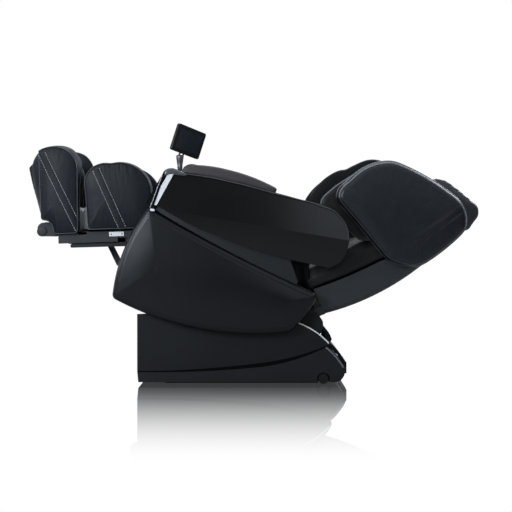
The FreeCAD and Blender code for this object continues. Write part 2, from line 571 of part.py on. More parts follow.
rest = keep(new_body("arm_pad_left", arm))
roll = [(0.093, 0.4), (0.097, 0.61), via(0.118, 0.672), (0.16, 0.686), via(0.23, 0.708), (0.31, 0.704),
        via(0.46, 0.645), (0.568, 0.57), (0.565, 0.3)]
pad(rest, outline(rest, "roll", roll, "arm_length", "arm_high", offset="(%s + %s) / 2 - arm_pad_half" % (core_in, arm_in)),
    "2 * arm_pad_half")
pocket(rest, outline(rest, "roll_seat", core_line, "arm_length", "arm_high", lift="fit"), back=True)
fillet(rest, "roll_ends", "8", lambda box: crosswise(box) and box.ZMax > measure("0.45 * arm_high"))
fillet(rest, "roll_round", "7", lambda box: box.YLength < 0.01 and box.ZMax > measure("0.62 * arm_high"))
mirrored("arm_pad_right", rest)

# Tablet.

# The stalk leans with the tablet, and stands on a round foot that lies on the arm.
stem = doc.addObject("Part::Cylinder", "stalk_stem")
bind(stem, Radius="stalk_radius * 0.5", Height="stalk_length")
settle(stem, stand, z="-tablet_high / 2 - fit - stalk_length")
sleeve = doc.addObject("Part::Cone", "stalk_sleeve")
bind(sleeve, Radius1="stalk_radius * 0.75", Radius2="stalk_radius * 1.1", Height="stalk_length * 0.7")
settle(sleeve, stand, z="-tablet_high / 2 - fit - stalk_length * 0.96")
disc = doc.addObject("Part::Cone", "stalk_foot")
bind(disc, Radius1="stalk_radius * 1.4", Radius2="stalk_radius * 0.9", Height="8")
settle(disc, arm, "tablet_x - 20", "-tablet_y", "0.5313 * arm_high")
keep(fused("tablet_stalk", [stem, sleeve, disc]))

case = keep(new_body("tablet_case", tablet))
frame_line = rectangle("-tablet_width / 2", "-tablet_high / 2", "tablet_width / 2", "tablet_high / 2")
pad(case, outline(case, "case_line", frame_line), "tablet_thick", both=True)
fillet(case, "case_corners", "9", crosswise)
window = rectangle("-tablet_width / 2 + tablet_rim", "-tablet_high / 2 + tablet_rim",
                   "tablet_width / 2 - tablet_rim", "tablet_high / 2 - tablet_rim")
pocket(case, outline(case, "window", window, offset="tablet_thick / 2"), "screen_thick")
keep(block("tablet_screen", tablet, "-tablet_width / 2 + tablet_rim + fit", "-tablet_thick / 2",
           "-tablet_high / 2 + tablet_rim + fit", "tablet_width - 2 * tablet_rim - 2 * fit",
           "screen_thick - fit", "tablet_high - 2 * tablet_rim - 2 * fit"))
pocket(case, circles(case, "button_hole", [("0", "tablet_high * 0.2")], "button_radius + bore_fit",
                     "-tablet_width / 2", "YZ_Plane"), "button_travel + 4", back=True)
button = doc.addObject("Part::Cylinder", "tablet_button")
bind(button, Radius="button_radius", Height="button_travel + 4")
keep(settle(button, tablet, "-tablet_width / 2 - button_travel - fit", "0", "tablet_high * 0.2", ("0; 1; 0", "90")))

# Backrest.

rail_in = "(back_half - back_wall - fit - back_rail)"
upright = keep(new_body("back_rail_left", back))
bar = [("-28", "0"), via("0", "28"), ("28", "0"), ("70", "-18"), ("back_length * 0.45", "-back_high * 0.16"),
       ("back_length * 0.72", "-back_high * 0.245"), ("back_length * 0.72", "-back_high * 0.325"), ("70", "-58"),
       ("-20", "-20")]
pad(upright, outline(upright, "bar", bar, offset=rail_in), "back_rail")
pocket(upright, circles(upright, "hip_bore", [("0", "0")], "hip_radius + bore_fit", rail_in), "back_rail", back=True)
mirrored("back_rail_right", upright)

trough_line = [(0.083, 0.1), via(0.218, 0.014), (0.435, -0.021), (0.659, -0.143), (0.876, -0.329),
               via(0.706, -0.571), (0.582, -0.729), via(0.306, -0.871), (0.083, -0.714)]
trough = keep(new_body("back_shell", back))
pad(trough, outline(trough, "trough_line", trough_line, "back_length", "back_high"), "2 * back_half", both=True)
fillet(trough, "trough_round", "back_round", lambda box: box.YLength < 0.01 and box.ZMax < -measure("back_high * 0.3"))
hollow(trough, "trough_skin", "back_wall", lambda box: box.ZMax > -measure("back_high * 0.34")
       and box.YLength > measure("1.8 * back_half") and box.XLength > 20)
front_lip = [(0.085, -0.714), (0.046, -0.7), (0.03, -0.5), (0.085, -0.2)]
pad(trough, outline(trough, "front_lip", front_lip, "back_length", "back_high"), "2 * (back_half - back_wall)", both=True)
slot_in = "(back_half - back_wall - fit - back_rail - 1)"
slot_out = "(back_half - back_wall)"
for side, left, right in (("left", "-" + slot_out, "-" + slot_in), ("right", slot_in, slot_out)):
    pocket(trough, outline(trough, "rail_slot_" + side, rectangle(left, "-0.45 * back_high", right, "back_high * 0.1 + 1"),
                           plane="YZ_Plane"), "0.083 * back_length + back_wall + 1", back=True)

pad_line = [("pad_front", "4"), ("pad_front + 3", "pad_rise - 22"), via("pad_front + 12", "pad_rise - 8"),
            ("pad_front + 40", "pad_rise - 6"), via(0.47, "pad_rise"), (0.85, "pad_rise - 8"),
            via(0.878, "pad_rise - 16"), (0.884, "pad_rise - 40"), (0.874, -0.31), (0.8, -0.36), (0.3, -0.6)]
mattress = keep(new_body("back_pad", back))
pad(mattress, outline(mattress, "pad_line", pad_line, "back_length", "back_high"), "2 * (back_half - 4)", both=True)
pocket(mattress, outline(mattress, "pad_seat", trough_line, "back_length", "back_high", lift="fit"),
       "2 * back_half", both=True)

wing = keep(new_body("wing_left", back))
ear_line = [(0.374, 0.659), via(0.406, 0.739), (0.459, 0.761), via(0.588, 0.809), (0.701, 0.743),
            via(0.786, 0.554), (0.88, 0.265), via(0.906, 0.065), (0.867, -0.083), via(0.729, -0.157),
            (0.598, -0.193), via(0.514, -0.104), (0.465, -0.002), via(0.438, 0.207)]
pad(wing, outline(wing, "ear_line", ear_line, "back_length", "0.541 * back_length", offset="back_half + fit"), "wing_depth")
fillet(wing, "wing_round", "back_length * 0.019", beyond("back_half + fit + wing_depth"))
lip_line = [(0.288, 0.69), (0.318, 0.739), (0.404, 0.78), (0.508, 0.803), (0.598, 0.812), (0.68, 0.6), (0.5, 0.1),
            (0.42, 0.26), (0.37, 0.42), (0.31, 0.58)]
pad(wing, outline(wing, "lip_line", lip_line, "back_length", "0.541 * back_length", offset="back_half + fit"),
    "side_gap + plate_thick")
roll_line = [(0.285, 0.4), (0.25, 0.66), (0.256, 0.78), via(0.34, 0.86), (0.46, 0.88), (0.57, 0.87), via(0.65, 0.81),
             (0.69, 0.7), (0.7, 0.42), (0.6, 0.29), (0.36, 0.29)]
pad(wing, outline(wing, "roll_line", roll_line, "back_length", "0.541 * back_length", offset="back_half + fit - wing_roll"),
    "wing_roll")
mirrored("wing_right", wing)

pillow = keep(new_body("head_pillow", back))
bolster = [(0.61, "pad_rise - 30"), (0.615, "pad_rise + 8"), via(0.76, "pad_rise + pillow_rise"), (0.905, "pad_rise + pillow_rise - 4"),
           (0.985, "pad_rise * 0.5"), via(1.006, 0), (0.96, -0.25), (0.915, -0.42), (0.888, -0.38), (0.8, 0.2)]
pad(pillow, outline(pillow, "bolster", bolster, "back_length", "back_high"), "2 * pillow_half", both=True)
pocket(pillow, outline(pillow, "bolster_seat", pad_line, "back_length", "back_high", shift="fit", lift="fit"),
       "2 * pillow_half + 2", both=True)

sled = [block("massage_block", massage, "-massage_long / 2", "-massage_half", "-26",
              "massage_long", "2 * massage_half", "18")]
for side, y in (("left", "-massage_half"), ("right", "massage_half - 8")):
    sled.append(block("massage_cheek_" + side, massage, "-massage_long / 2", y, "-8", "massage_long", "8", "32"))
for name, x in (("low", "-massage_long / 2 + 14"), ("high", "massage_long / 2 - 14")):
    sled.append(crossbar("massage_roller_" + name, massage, x, "15", "7",
                         "-%s + fit" % rail_in, "%s - fit" % rail_in))
for side, y in (("left", "-massage_half + 40"), ("right", "massage_half - 50")):
    post = block("knead_post_" + side, massage, "-14", y, "-8", "28", "10", "40")
    hole = crossbar("knead_hole_" + side, massage, "0", "knead_high", "knead_axle + bore_fit", y + " - 1", y + " + 11")
    drilled = doc.addObject("Part::Cut", "knead_bearing_" + side)
    drilled.Base = post
    drilled.Tool = hole
    sled.append(drilled)
keep(fused("massage_carriage", sled))

turned = [crossbar("knead_rod", massage, "0", "knead_high", "knead_axle", "-massage_half + 36", "massage_half - 36")]
for side, y in (("left", "-knead_apart - 14"), ("right", "knead_apart - 14")):
    turned.append(crossbar("knead_wheel_" + side, massage, "3", "knead_high", "knead_radius", y, y + " + 28"))
keep(fused("kneading_shaft", turned))

# Legs.

calf_frame = keep(new_body("calf_frame", leg))
web = [("-frame_half", "-41"), ("-frame_half", "-12"), ("frame_half", "-12"), ("frame_half", "-41"),
       ("frame_half - frame_sheet", "-41"), ("frame_half - frame_sheet", "-12 - frame_sheet"),
       ("-frame_half + frame_sheet", "-12 - frame_sheet"), ("-frame_half + frame_sheet", "-41")]
pad(calf_frame, outline(calf_frame, "frame_section", web, offset="-frame_front", plane="YZ_Plane"),
    "frame_front - 25")
ear = [("-60", "-12"), ("-22", "6"), via("0", "23"), ("22", "0"), via("10", "-20"), ("-25", "-40"), ("-60", "-40")]
for side, y in (("left", "frame_half - 8"), ("right", "-frame_half")):
    pad(calf_frame, outline(calf_frame, "knee_ear_" + side, ear, offset=y), "8")
pocket(calf_frame, circles(calf_frame, "knee_bore", [("0", "0")], "knee_radius + bore_fit"),
       "2 * frame_half + 2", both=True)
lever = [("-lever_x - 56", "-13"), ("-lever_x - 48", "-74"), ("-lever_x - 13", "-lever_drop - 3"),
         via("-lever_x", "-lever_drop - 13"), ("-lever_x + 13", "-lever_drop + 3"), ("-lever_x - 20", "-78"),
         ("-lever_x - 26", "-13")]
pad(calf_frame, outline(calf_frame, "lever", lever), "lever_thick", both=True)

calf_cover = keep(new_body("calf_cover", leg))
belly = [("-398", "-76"), via("-402", "-68"), ("-396", "-60"), ("-170", "-60"), ("-170", "-12 - frame_sheet - fit"),
         ("-58", "-12 - frame_sheet - fit"), via("-62", "-66"), ("-90", "-78")]
pad(calf_cover, outline(calf_cover, "belly", belly), "2 * (frame_half - 8)", both=True)
slit = rectangle("-lever_x - 60", "-lever_thick / 2 - 8", "-lever_x + 52", "lever_thick / 2 + 8")
pocket(calf_cover, outline(calf_cover, "lever_slit", slit, plane="XY_Plane"), "100")

calf = keep(new_body("calf_cradle", leg))
lobe_in = "(leg_half - lobe_width)"
slab = [(-0.973, -0.014), (-0.98, "calf_floor"), (-0.17, "calf_floor"), (-0.155, 0.12), (-0.182, -0.014)]
ridge = [(-0.94, "calf_floor - 10"), (-0.95, 0.6), via(-0.88, 0.83), (-0.66, 0.88), via(-0.36, 0.82), (-0.22, 0.6), (-0.2, "calf_floor - 10")]
pad(calf, outline(calf, "calf_slab", slab, "calf_length", "calf_high"), "2 * (%s - fit)" % lobe_in, both=True)
pad(calf, outline(calf, "calf_ridge", ridge, "calf_length", "calf_high"), "2 * ridge_half", both=True)

lobe = keep(new_body("calf_lobe_left", leg))
calf_line = [(-0.973, -0.014), (-0.991, 0.586), via(-0.909, 0.9), (-0.664, 0.961), via(-0.333, 0.9),
             (-0.167, 0.657), via(-0.145, 0.214), (-0.182, -0.014)]
pad(lobe, outline(lobe, "calf_line", calf_line, "calf_length", "calf_high", offset=lobe_in), "lobe_width")
fillet(lobe, "calf_corners", "lobe_width * 0.34", crosswise)
fillet(lobe, "calf_round", "lobe_width * 0.3", beyond("leg_half"))
mirrored("calf_lobe_right", lobe)

foot_frame = keep(new_body("foot_frame", leg))
low = "(-12 - 45)"
cradle = [("-frame_half - slide_play - 6", "-23"), ("-frame_half - slide_play", "-23"),
          ("-frame_half - slide_play", low + " + frame_sheet"), ("frame_half + slide_play", low + " + frame_sheet"),
          ("frame_half + slide_play", "-23"), ("frame_half + slide_play + 6", "-23"),
          ("frame_half + slide_play + 6", low), ("-frame_half - slide_play - 6", low)]
pad(foot_frame, outline(foot_frame, "slide_section", cradle, offset="-slide_front", plane="YZ_Plane"),
    "slide_front - slide_rear")
slit = rectangle("-lever_x - 72", "-lever_thick / 2 - 10", "0", "lever_thick / 2 + 10")
pocket(foot_frame, outline(foot_frame, "slide_slit", slit, plane="XY_Plane"), "100")
deck = rectangle("-472", "-24", "-365", "-18 - fit")
pad(foot_frame, outline(foot_frame, "deck", deck), "2 * (frame_half + slide_play + 6)", both=True)
guard = [("-472", "-24"), ("-468", "-18 - fit"), via("-480", "26"), ("-510", "36"), ("-511", "31"), via("-484", "22"), ("-474", "-14")]
pad(foot_frame, outline(foot_frame, "guard", guard), "2 * (roll_half + 8)", both=True)
cheek = [("-474", "-22"), ("-469", "-18 - fit"), via("-481", "24"), ("-512", "34"), via("-543", "6"), ("-528", "-16")]
for side, y in (("left", "roll_half + 2"), ("right", "-roll_half - 8")):
    pad(foot_frame, outline(foot_frame, "roller_cheek_" + side, cheek, offset=y), "6")
pocket(foot_frame, circles(foot_frame, "roller_bore", [("-roll_x", "-roll_drop")], "pin_radius + bore_fit"),
       "2 * roll_half + 18", both=True)

spool = [crossbar("roller_pin", leg, "-roll_x", "-roll_drop", "pin_radius", "-roll_half - 7", "roll_half + 7"),
         crossbar("roller_drum", leg, "-roll_x", "-roll_drop", "roll_radius", "-roll_half", "roll_half")]
keep(fused("foot_roller", spool))

foot = keep(new_body("foot_cradle", leg))
arch_in = [(-0.834, -0.047), via(-0.846, 0.078), (-0.92, 0.115)]
sole = arch_in + [via(-0.962, 0.4), (-0.982, 0.708), via(-0.96, 0.83), (-0.93, 0.8), (-0.9, 0.2), (-0.87, "foot_floor"),
                  (-0.652, "foot_floor"), (-0.648, -0.047)]
pad(foot, outline(foot, "sole", sole, "foot_length", "foot_high"), "2 * (%s - fit)" % lobe_in, both=True)
spine = [(-0.9, "foot_floor - 10"), (-0.95, 0.6), via(-0.9, 0.83), (-0.8, 0.86), via(-0.7, 0.8), (-0.665, 0.5), (-0.665, "foot_floor - 10")]
pad(foot, outline(foot, "foot_ridge", spine, "foot_length", "foot_high"), "2 * ridge_half", both=True)

toe = keep(new_body("foot_lobe_left", leg))
foot_line = [(-0.988, 0.708), via(-0.938, 0.878), (-0.834, 0.941), via(-0.714, 0.905), (-0.632, 0.67),
             (-0.648, -0.047)] + arch_in + [via(-0.966, 0.405)]
pad(toe, outline(toe, "foot_line", foot_line, "foot_length", "foot_high", offset=lobe_in), "lobe_width")
fillet(toe, "foot_round", "lobe_width * 0.3", beyond("leg_half"))
mirrored("foot_lobe_right", toe)

cloth = keep(new_body("leg_bellows", leg))
gusset = rectangle("-0.648 * foot_length + fit", "-6", "-0.98 * calf_length - fit", "calf_floor + 22")
pad(cloth, outline(cloth, "gusset", gusset), "2 * (%s - 4)" % lobe_in, both=True)

# Leg actuator.

barrel = doc.addObject("Part::Cylinder", "motor_barrel")
bind(barrel, Radius="motor_radius", Height="motor_length")
settle(barrel, motor, "0", "0", "0", ("0; 1; 0", "-90"))
bored = doc.addObject("Part::Cylinder", "motor_bore")
bind(bored, Radius="rod_radius + fit", Height="motor_length")
settle(bored, motor, "-12", "0", "0", ("0; 1; 0", "-90"))
tube = doc.addObject("Part::Cut", "motor_tube")
tube.Base = barrel
tube.Tool = bored
trunnion = crossbar("motor_trunnion", motor, "0", "0", "pin_radius", "-motor_radius - 9", "motor_radius + 9")
keep(fused("leg_motor", [tube, trunnion]))
rod = doc.addObject("Part::Cylinder", "leg_rod")
bind(rod, Radius="rod_radius", Height="rod_length")
keep(settle(rod, motor, "-(rod_reach - rod_length)", "0", "0", ("0; 1; 0", "-90")))

doc.recompute()

# Checks and files.

faults = [item.Label for item in doc.Objects if set(item.State) & {"Invalid", "Error"}]
for piece in nodes:
    if piece.Shape.isNull() or not piece.Shape.isValid() or not piece.Shape.Solids:
        faults.append(piece.Label + " has no sound solid")
if faults:
    raise ValueError("; ".join(faults))
os.makedirs("parts", exist_ok=True)
for piece in nodes:
    piece.Shape.exportStep("parts/%s.step" % piece.Label)
print(len(nodes), "pieces written")
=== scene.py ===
import math

import bmesh
import bpy
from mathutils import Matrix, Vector, noise
from mathutils.bvhtree import BVHTree


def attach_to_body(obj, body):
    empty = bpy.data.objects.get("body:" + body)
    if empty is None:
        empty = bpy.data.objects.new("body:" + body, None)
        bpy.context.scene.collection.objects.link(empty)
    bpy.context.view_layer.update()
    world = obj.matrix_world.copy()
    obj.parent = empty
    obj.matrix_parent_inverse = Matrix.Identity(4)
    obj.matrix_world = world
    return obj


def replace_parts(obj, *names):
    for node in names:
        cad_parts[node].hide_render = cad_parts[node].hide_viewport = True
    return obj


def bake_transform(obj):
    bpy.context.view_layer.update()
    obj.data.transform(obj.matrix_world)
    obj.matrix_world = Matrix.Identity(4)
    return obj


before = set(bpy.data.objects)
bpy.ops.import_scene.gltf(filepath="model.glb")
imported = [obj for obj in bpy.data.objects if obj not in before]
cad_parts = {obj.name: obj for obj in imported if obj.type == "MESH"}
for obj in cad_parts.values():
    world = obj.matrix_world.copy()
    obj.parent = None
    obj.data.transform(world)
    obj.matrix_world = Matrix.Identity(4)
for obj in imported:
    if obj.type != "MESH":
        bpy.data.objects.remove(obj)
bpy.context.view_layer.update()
print("frame loaded")


# Colours and materials.
def toLinear(hexText):
    channels = [int(hexText[i:i + 2], 16) / 255 for i in (1, 3, 5)]
    return [c / 12.92 if c <= 0.04045 else ((c + 0.055) / 1.055) ** 2.4 for c in channels] + [1]


def addNode(tree, kind, links=(), **settings):
    node = tree.nodes.new(kind)
    for name, value in settings.items():
        socket = node.inputs.get(name.replace("_", " "))
        if socket is None:
            setattr(node, name, value)
        else:
            socket.default_value = value
    for name, source in dict(links).items():
        tree.links.new(source, node.inputs[name])
    return node


def newMaterial(name, colour, roughness, metallic=0.0, shine=()):
    # a material with its constants set, its node tree, and the place of each point in the chair's own metres
    material = bpy.data.materials.new(name)
    material.use_nodes = True
    tree = material.node_tree
    constants = {"Base Color": toLinear(colour), "Roughness": roughness, "Metallic": metallic, **dict(shine)}
    for socket, value in constants.items():
        tree.nodes["Principled BSDF"].inputs[socket].default_value = value
    return material, tree, addNode(tree, "ShaderNodeTexCoord").outputs["Object"]


def weathered(tree, mottle, tones, worn, reliefs):
    # mottles the colour between two tones, lets the roughness wander, and lays the reliefs over each other
    shader = tree.nodes["Principled BSDF"]
    mix = addNode(tree, "ShaderNodeMix", {0: mottle}, data_type="RGBA")
    for socket, tone in zip((6, 7), tones):
        mix.inputs[socket].default_value = toLinear(tone)
    tree.links.new(mix.outputs[2], shader.inputs["Base Color"])
    if worn:
        span = addNode(tree, "ShaderNodeMapRange", {"Value": mottle}, To_Min=worn[0], To_Max=worn[1])
        tree.links.new(span.outputs["Result"], shader.inputs["Roughness"])
    under = {}
    for height, strength, depth in reliefs:
        bump = addNode(tree, "ShaderNodeBump", {"Height": height, **under}, Strength=strength, Distance=depth)
        under = {"Normal": bump.outputs["Normal"]}
    tree.links.new(under["Normal"], shader.inputs["Normal"])


def hideMaterial(name, low, high, roughness, grain=0.0022, depth=0.00022, level=0.4):
    # pigmented leather, embossed with a pebble grain: soft broad shine, darker in the pores
    material, tree, place = newMaterial(name, low, roughness, 0.0, {"IOR": 1.46, "Specular IOR Level": level})
    pebble = addNode(tree, "ShaderNodeTexVoronoi", {"Vector": place}, feature="F1", Scale=1 / grain, Randomness=0.9)
    cloud = addNode(tree, "ShaderNodeTexNoise", {"Vector": place}, Scale=24.0, Detail=4.0, Roughness=0.6)
    crease = addNode(tree, "ShaderNodeTexNoise", {"Vector": place}, Scale=90.0, Detail=5.0, Roughness=0.65,
                     Distortion=0.6)
    weathered(tree, cloud.outputs["Fac"], (low, high), (roughness - 0.07, roughness + 0.08),
              ((crease.outputs["Fac"], 0.5, depth * 2.5), (pebble.outputs["Distance"], 0.7, depth)))
    return material


def mouldedMaterial(name, low, high, roughness, texture=0.0009, depth=0.00006, level=0.5):
    # injection-moulded ABS: even, with the fine spark-eroded grain of its mould
    material, tree, place = newMaterial(name, low, roughness, 0.0, {"IOR": 1.52, "Specular IOR Level": level})
    spark = addNode(tree, "ShaderNodeTexNoise", {"Vector": place}, Scale=1 / texture, Detail=3.0, Roughness=0.7)
    flow = addNode(tree, "ShaderNodeTexNoise", {"Vector": place}, Scale=5.0, Detail=3.0, Roughness=0.5)
    weathered(tree, flow.outputs["Fac"], (low, high), (max(0.02, roughness - 0.03), roughness + 0.04),
              ((spark.outputs["Fac"], 0.6, depth),))
    return material


def metalMaterial(name, low, high, roughness, metallic=1.0, scratch=0.0008, stretch=(1, 1, 1)):
    # metal or its paint: fine lines or orange peel, with patches that shine a little more
    material, tree, place = newMaterial(name, low, roughness, metallic)
    drawn = addNode(tree, "ShaderNodeMapping", {"Vector": place}, Scale=stretch)
    line = addNode(tree, "ShaderNodeTexNoise", {"Vector": drawn.outputs["Vector"]}, Scale=1 / scratch, Detail=3.0)
    patch = addNode(tree, "ShaderNodeTexNoise", {"Vector": place}, Scale=30.0, Detail=4.0)
    weathered(tree, patch.outputs["Fac"], (low, high), (max(0.03, roughness - 0.06), roughness + 0.08),
              ((line.outputs["Fac"], 0.5, 0.00005),))
    return material


def clothMaterial(name, low, high, thread):
    # plain-woven polyester: crossed threads, a dull fuzz and no shine
    material, tree, place = newMaterial(name, low, 0.88, 0.0, {"IOR": 1.45, "Sheen Weight": 0.2})
    warp, weft = [addNode(tree, "ShaderNodeTexWave", {"Vector": place}, bands_direction=way, Scale=0.314 / thread,
                          Distortion=0.6) for way in ("Y", "DIAGONAL")]
    weave = addNode(tree, "ShaderNodeMath", {0: warp.outputs["Fac"], 1: weft.outputs["Fac"]}, operation="MAXIMUM")
    cloud = addNode(tree, "ShaderNodeTexNoise", {"Vector": place}, Scale=60.0, Detail=3.0)
    weathered(tree, cloud.outputs["Fac"], (low, high), None, ((weave.outputs["Value"], 0.7, 0.0003),))
    return material


looks = {
    # the lobes: blue-black, with a soft cool shine where the leather swells
    "nightHide": hideMaterial("blueBlackLeather", "#0f1218", "#161a21", 0.4, level=0.2),
    # the cushions: warmer and duller, so that the quilting shows by its shadows
    "umberHide": hideMaterial("umberBlackLeather", "#141112", "#1e1a1a", 0.46),
    # the arm pads: a brown grey that stands off the gloss shells below
    "armHide": hideMaterial("taupeLeather", "#3a3537", "#474144", 0.44),
    # rolled edges: smoother, and painted lighter as a highlight: a thin line of light beside each seam
    "pipingHighlightHide": hideMaterial("rolledPipingPaintedHighlight", "#3c3e42", "#4b4d51", 0.32, 0.0016),
    # the sewn-on bands: dull, between stitches that look bright
    "bandHide": hideMaterial("perforatedLeatherBand", "#0e1013", "#15181c", 0.5, 0.0018, level=0.3),
    # the side shells: nearly black, with one broad soft light along the swell
    "shellAbs": mouldedMaterial("texturedAbs", "#06080c", "#090b10", 0.32, level=0.32),
    # the base's covers: satin, a shade lighter than the shells and without a clear reflection
    "coverAbs": mouldedMaterial("satinAbs", "#0d0f12", "#111317", 0.42, level=0.27),
    # the back shell: grey, so that it stands off the dark wing above it
    "backAbs": mouldedMaterial("greySatinAbs", "#2e3033", "#36383b", 0.4, level=0.36),
    # coarse skirts and ribs: almost no shine, they sink back
    "lipAbs": mouldedMaterial("coarseAbs", "#0f1114", "#131518", 0.5, level=0.3),
    # the arm shells: polished black, with sharp and deep reflections
    "pianoAbs": mouldedMaterial("polishedAbs", "#040506", "#060708", 0.16, 0.002, 0.00001, 0.38),
    # the fairings: a soft dark grey, a step lighter than the shells
    "fairingAbs": mouldedMaterial("greyTexturedAbs", "#1a1c1e", "#202225", 0.4, level=0.4),
    # the arm grips and the tablet's boot: clear grey, smooth enough for a bright edge
    "gripAbs": mouldedMaterial("satinGreyAbs", "#45464a", "#505155", 0.24, 0.0014, 0.00003, 0.6),
    # the wings: shinier than the lobes, with a wide cool light over their faces
    "wingHide": hideMaterial("blueBlackWingLeather", "#101217", "#171a20", 0.38, level=0.5),
    # the rim's piping: pale as a painted highlight on the wing's upper edges, so that it draws the wing's outline
    "rimHighlightHide": hideMaterial("pipingPaintedHighlight", "#67696e", "#7c7e84", 0.5, 0.0016, 0.00003, level=0.45),
    # the pillow's flap: mid grey, paler than the pillow under it as painted light from above
    "flapPaintedLightHide": hideMaterial("greyLeatherPaintedLight", "#4b4d51", "#5a5c60", 0.46, depth=0.0001, level=0.45),
    # the pillow: slate grey, partly painted light from above, with a clear soft light
    "slatePaintedLightHide": hideMaterial("slateLeatherPaintedLight", "#2b2d32", "#37393e", 0.38, level=0.5),
    # leather in the shade, and the pierced holes: black, partly the leather's own colour and partly painted shade,
    # with hardly a shine
    "blackHideAndShade": hideMaterial("jetLeatherAndPaintedShade", "#07080a", "#0b0c0e", 0.5, level=0.25),
    # the base's rear edges: a painted highlight, a pale line against the dark
    "edgeHighlightPlastic": mouldedMaterial("paleGreyPaintedHighlightAbs", "#6a6b6e", "#77787b", 0.35, level=0.5),
    # the arm fronts' edges: a painted highlight, satin silver, a bright line without a mirror's glare
    "edgeHighlightPaint": metalMaterial("satinSilverPaintedHighlight", "#a2a4a8", "#b4b6ba", 0.34, 0.2, 0.002),
    # the tablet's case and fork: fine and dark, with a soft light
    "caseAbs": mouldedMaterial("fineGrainAbs", "#08090a", "#0c0e0f", 0.32, level=0.4),
    # trims and clips: silver painted near white as a painted highlight, so that it looks nearly white in the light
    "silverHighlightPaint": metalMaterial("silverLacquerPaintedHighlight", "#e9eaec", "#f2f2f4", 0.3, 0.1, 0.002),
    # axles and rods: mid grey metal with fine streaks in its shine
    "groundSteel": metalMaterial("groundSteel", "#8f9094", "#a9aaae", 0.3, stretch=(1, 0.05, 1)),
    # frames: powder coat, dull black with an even orange peel
    "coatedSteel": metalMaterial("powderCoatedSteel", "#121417", "#181a1d", 0.55, 0.0, 0.0012),
    # the slide's plates: pale, with fine streaks along their length
    "barePlate": metalMaterial("brushedAluminiumPlate", "#d0d1d3", "#dfe0e1", 0.36, 0.4, stretch=(0.04, 1, 1)),
    # painted shadow: a black band that stands for the shade in the gap over the skirt
    "gapShadowBlack": mouldedMaterial("paintedGapShadow", "#020203", "#040405", 0.8, level=0.08),
    # floor strips, wheels and the seat's skirt: black and quite dull
    "rubber": mouldedMaterial("nitrileRubber", "#0d0d0e", "#131415", 0.7, 0.0014, 0.0001, 0.3),
    # the foot roller: matt dark grey
    "greyRubber": mouldedMaterial("greyThermoplasticRubber", "#1d1f22", "#26282b", 0.5, 0.0014, 0.0001, 0.35),
    # the loose cloth: light grey weave that shades softly in its folds
    "cloth": clothMaterial("wovenPolyester", "#8e8f92", "#a6a7a9", 0.0016),
    # stitches: pale and dull, so that each one shows
    "thread": clothMaterial("bondedPolyesterThread", "#b6bac0", "#cacdd2", 0.0009),
    # the screen: dark and smooth, with the clearest reflection of all
    "glass": mouldedMaterial("coatedDisplayGlass", "#22272c", "#282e34", 0.12, 0.002, 0.00001, 0.4),
}
print("materials made:", len(looks))

# The CAD pieces that stay, with the look of each: every piece whose name starts so.
kept = {
    "coatedSteel": ("base_frame", "carriage_frame", "seat_plate", "seat_pan", "knee_shaft", "hip_shaft", "back_rail",
                    "calf_frame", "foot_frame", "massage_carriage", "leg_motor"),
    "groundSteel": ("carriage_axle", "tilt_shaft", "leg_rod"),
    "rubber": ("rubber_feet", "transport_wheels", "kneading_shaft"),
    "greyRubber": ("foot_roller",),
    "lipAbs": ("base_plinth",),
    "coverAbs": ("base_cover", "base_front_cover", "base_rear_cover", "calf_cover", "power_inlet"),
    "backAbs": ("back_shell",),
    "shellAbs": ("side_shell",),
    "pianoAbs": ("arm_shell", "arm_core"),
    "fairingAbs": ("side_fairing",),
    "caseAbs": ("tablet_case", "tablet_button", "power_switch"),
    "silverHighlightPaint": ("base_trim", "arm_strip"),
    "glass": ("tablet_screen",),
}
for look, names in kept.items():
    for name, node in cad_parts.items():
        if name.startswith(names):
            for slot in node.material_slots:
                slot.material = looks[look]

# Each moving assembly's own axes: the pivot's x and z in metres, and its turn about Y in degrees.
axesOf = {"seat": (0.150, 0.260, 18), "legs": (-0.32008, 0.65457, -2), "arms": (-0.34439, 0.73500, 9.5),
          "back": (0.24008, 0.34955, -26)}
sides = (("left", -1), ("right", 1))  # the sitter's left is the side that the camera sees


def placed(axes, x, y, z):
    # a point in an assembly's axes, in millimetres, as a point of the whole chair in metres
    originX, originZ, turn = axesOf[axes]
    angle = math.radians(turn)
    return Vector((originX + (x * math.cos(angle) + z * math.sin(angle)) / 1000, y / 1000,
                   originZ + (z * math.cos(angle) - x * math.sin(angle)) / 1000))


def unplaced(axes, point):
    originX, originZ, turn = axesOf[axes]
    angle = math.radians(turn)
    x, z = (point.x - originX) * 1000, (point.z - originZ) * 1000
    return Vector((x * math.cos(angle) - z * math.sin(angle), point.y * 1000,
                   x * math.sin(angle) + z * math.cos(angle)))


def arcPoints(start, middle, stop, count):
    # points of the arc through three points, without its last one
    (ax, az), (bx, bz), (cx, cz) = start, middle, stop
    twice = 2 * (ax * (bz - cz) + bx * (cz - az) + cx * (az - bz))
    a, b, c = ax * ax + az * az, bx * bx + bz * bz, cx * cx + cz * cz
    x = (a * (bz - cz) + b * (cz - az) + c * (az - bz)) / twice
    z = (a * (cx - bx) + b * (ax - cx) + c * (bx - ax)) / twice
    radius = math.hypot(ax - x, az - z)
    first = math.atan2(az - z, ax - x)
    halfway = (math.atan2(bz - z, bx - x) - first) % math.tau
    last = (math.atan2(cz - z, cx - x) - first) % math.tau
    sweep = last if halfway < last else last - math.tau
    return [(x + radius * math.cos(first + sweep * i / count), z + radius * math.sin(first + sweep * i / count))
            for i in range(count)]


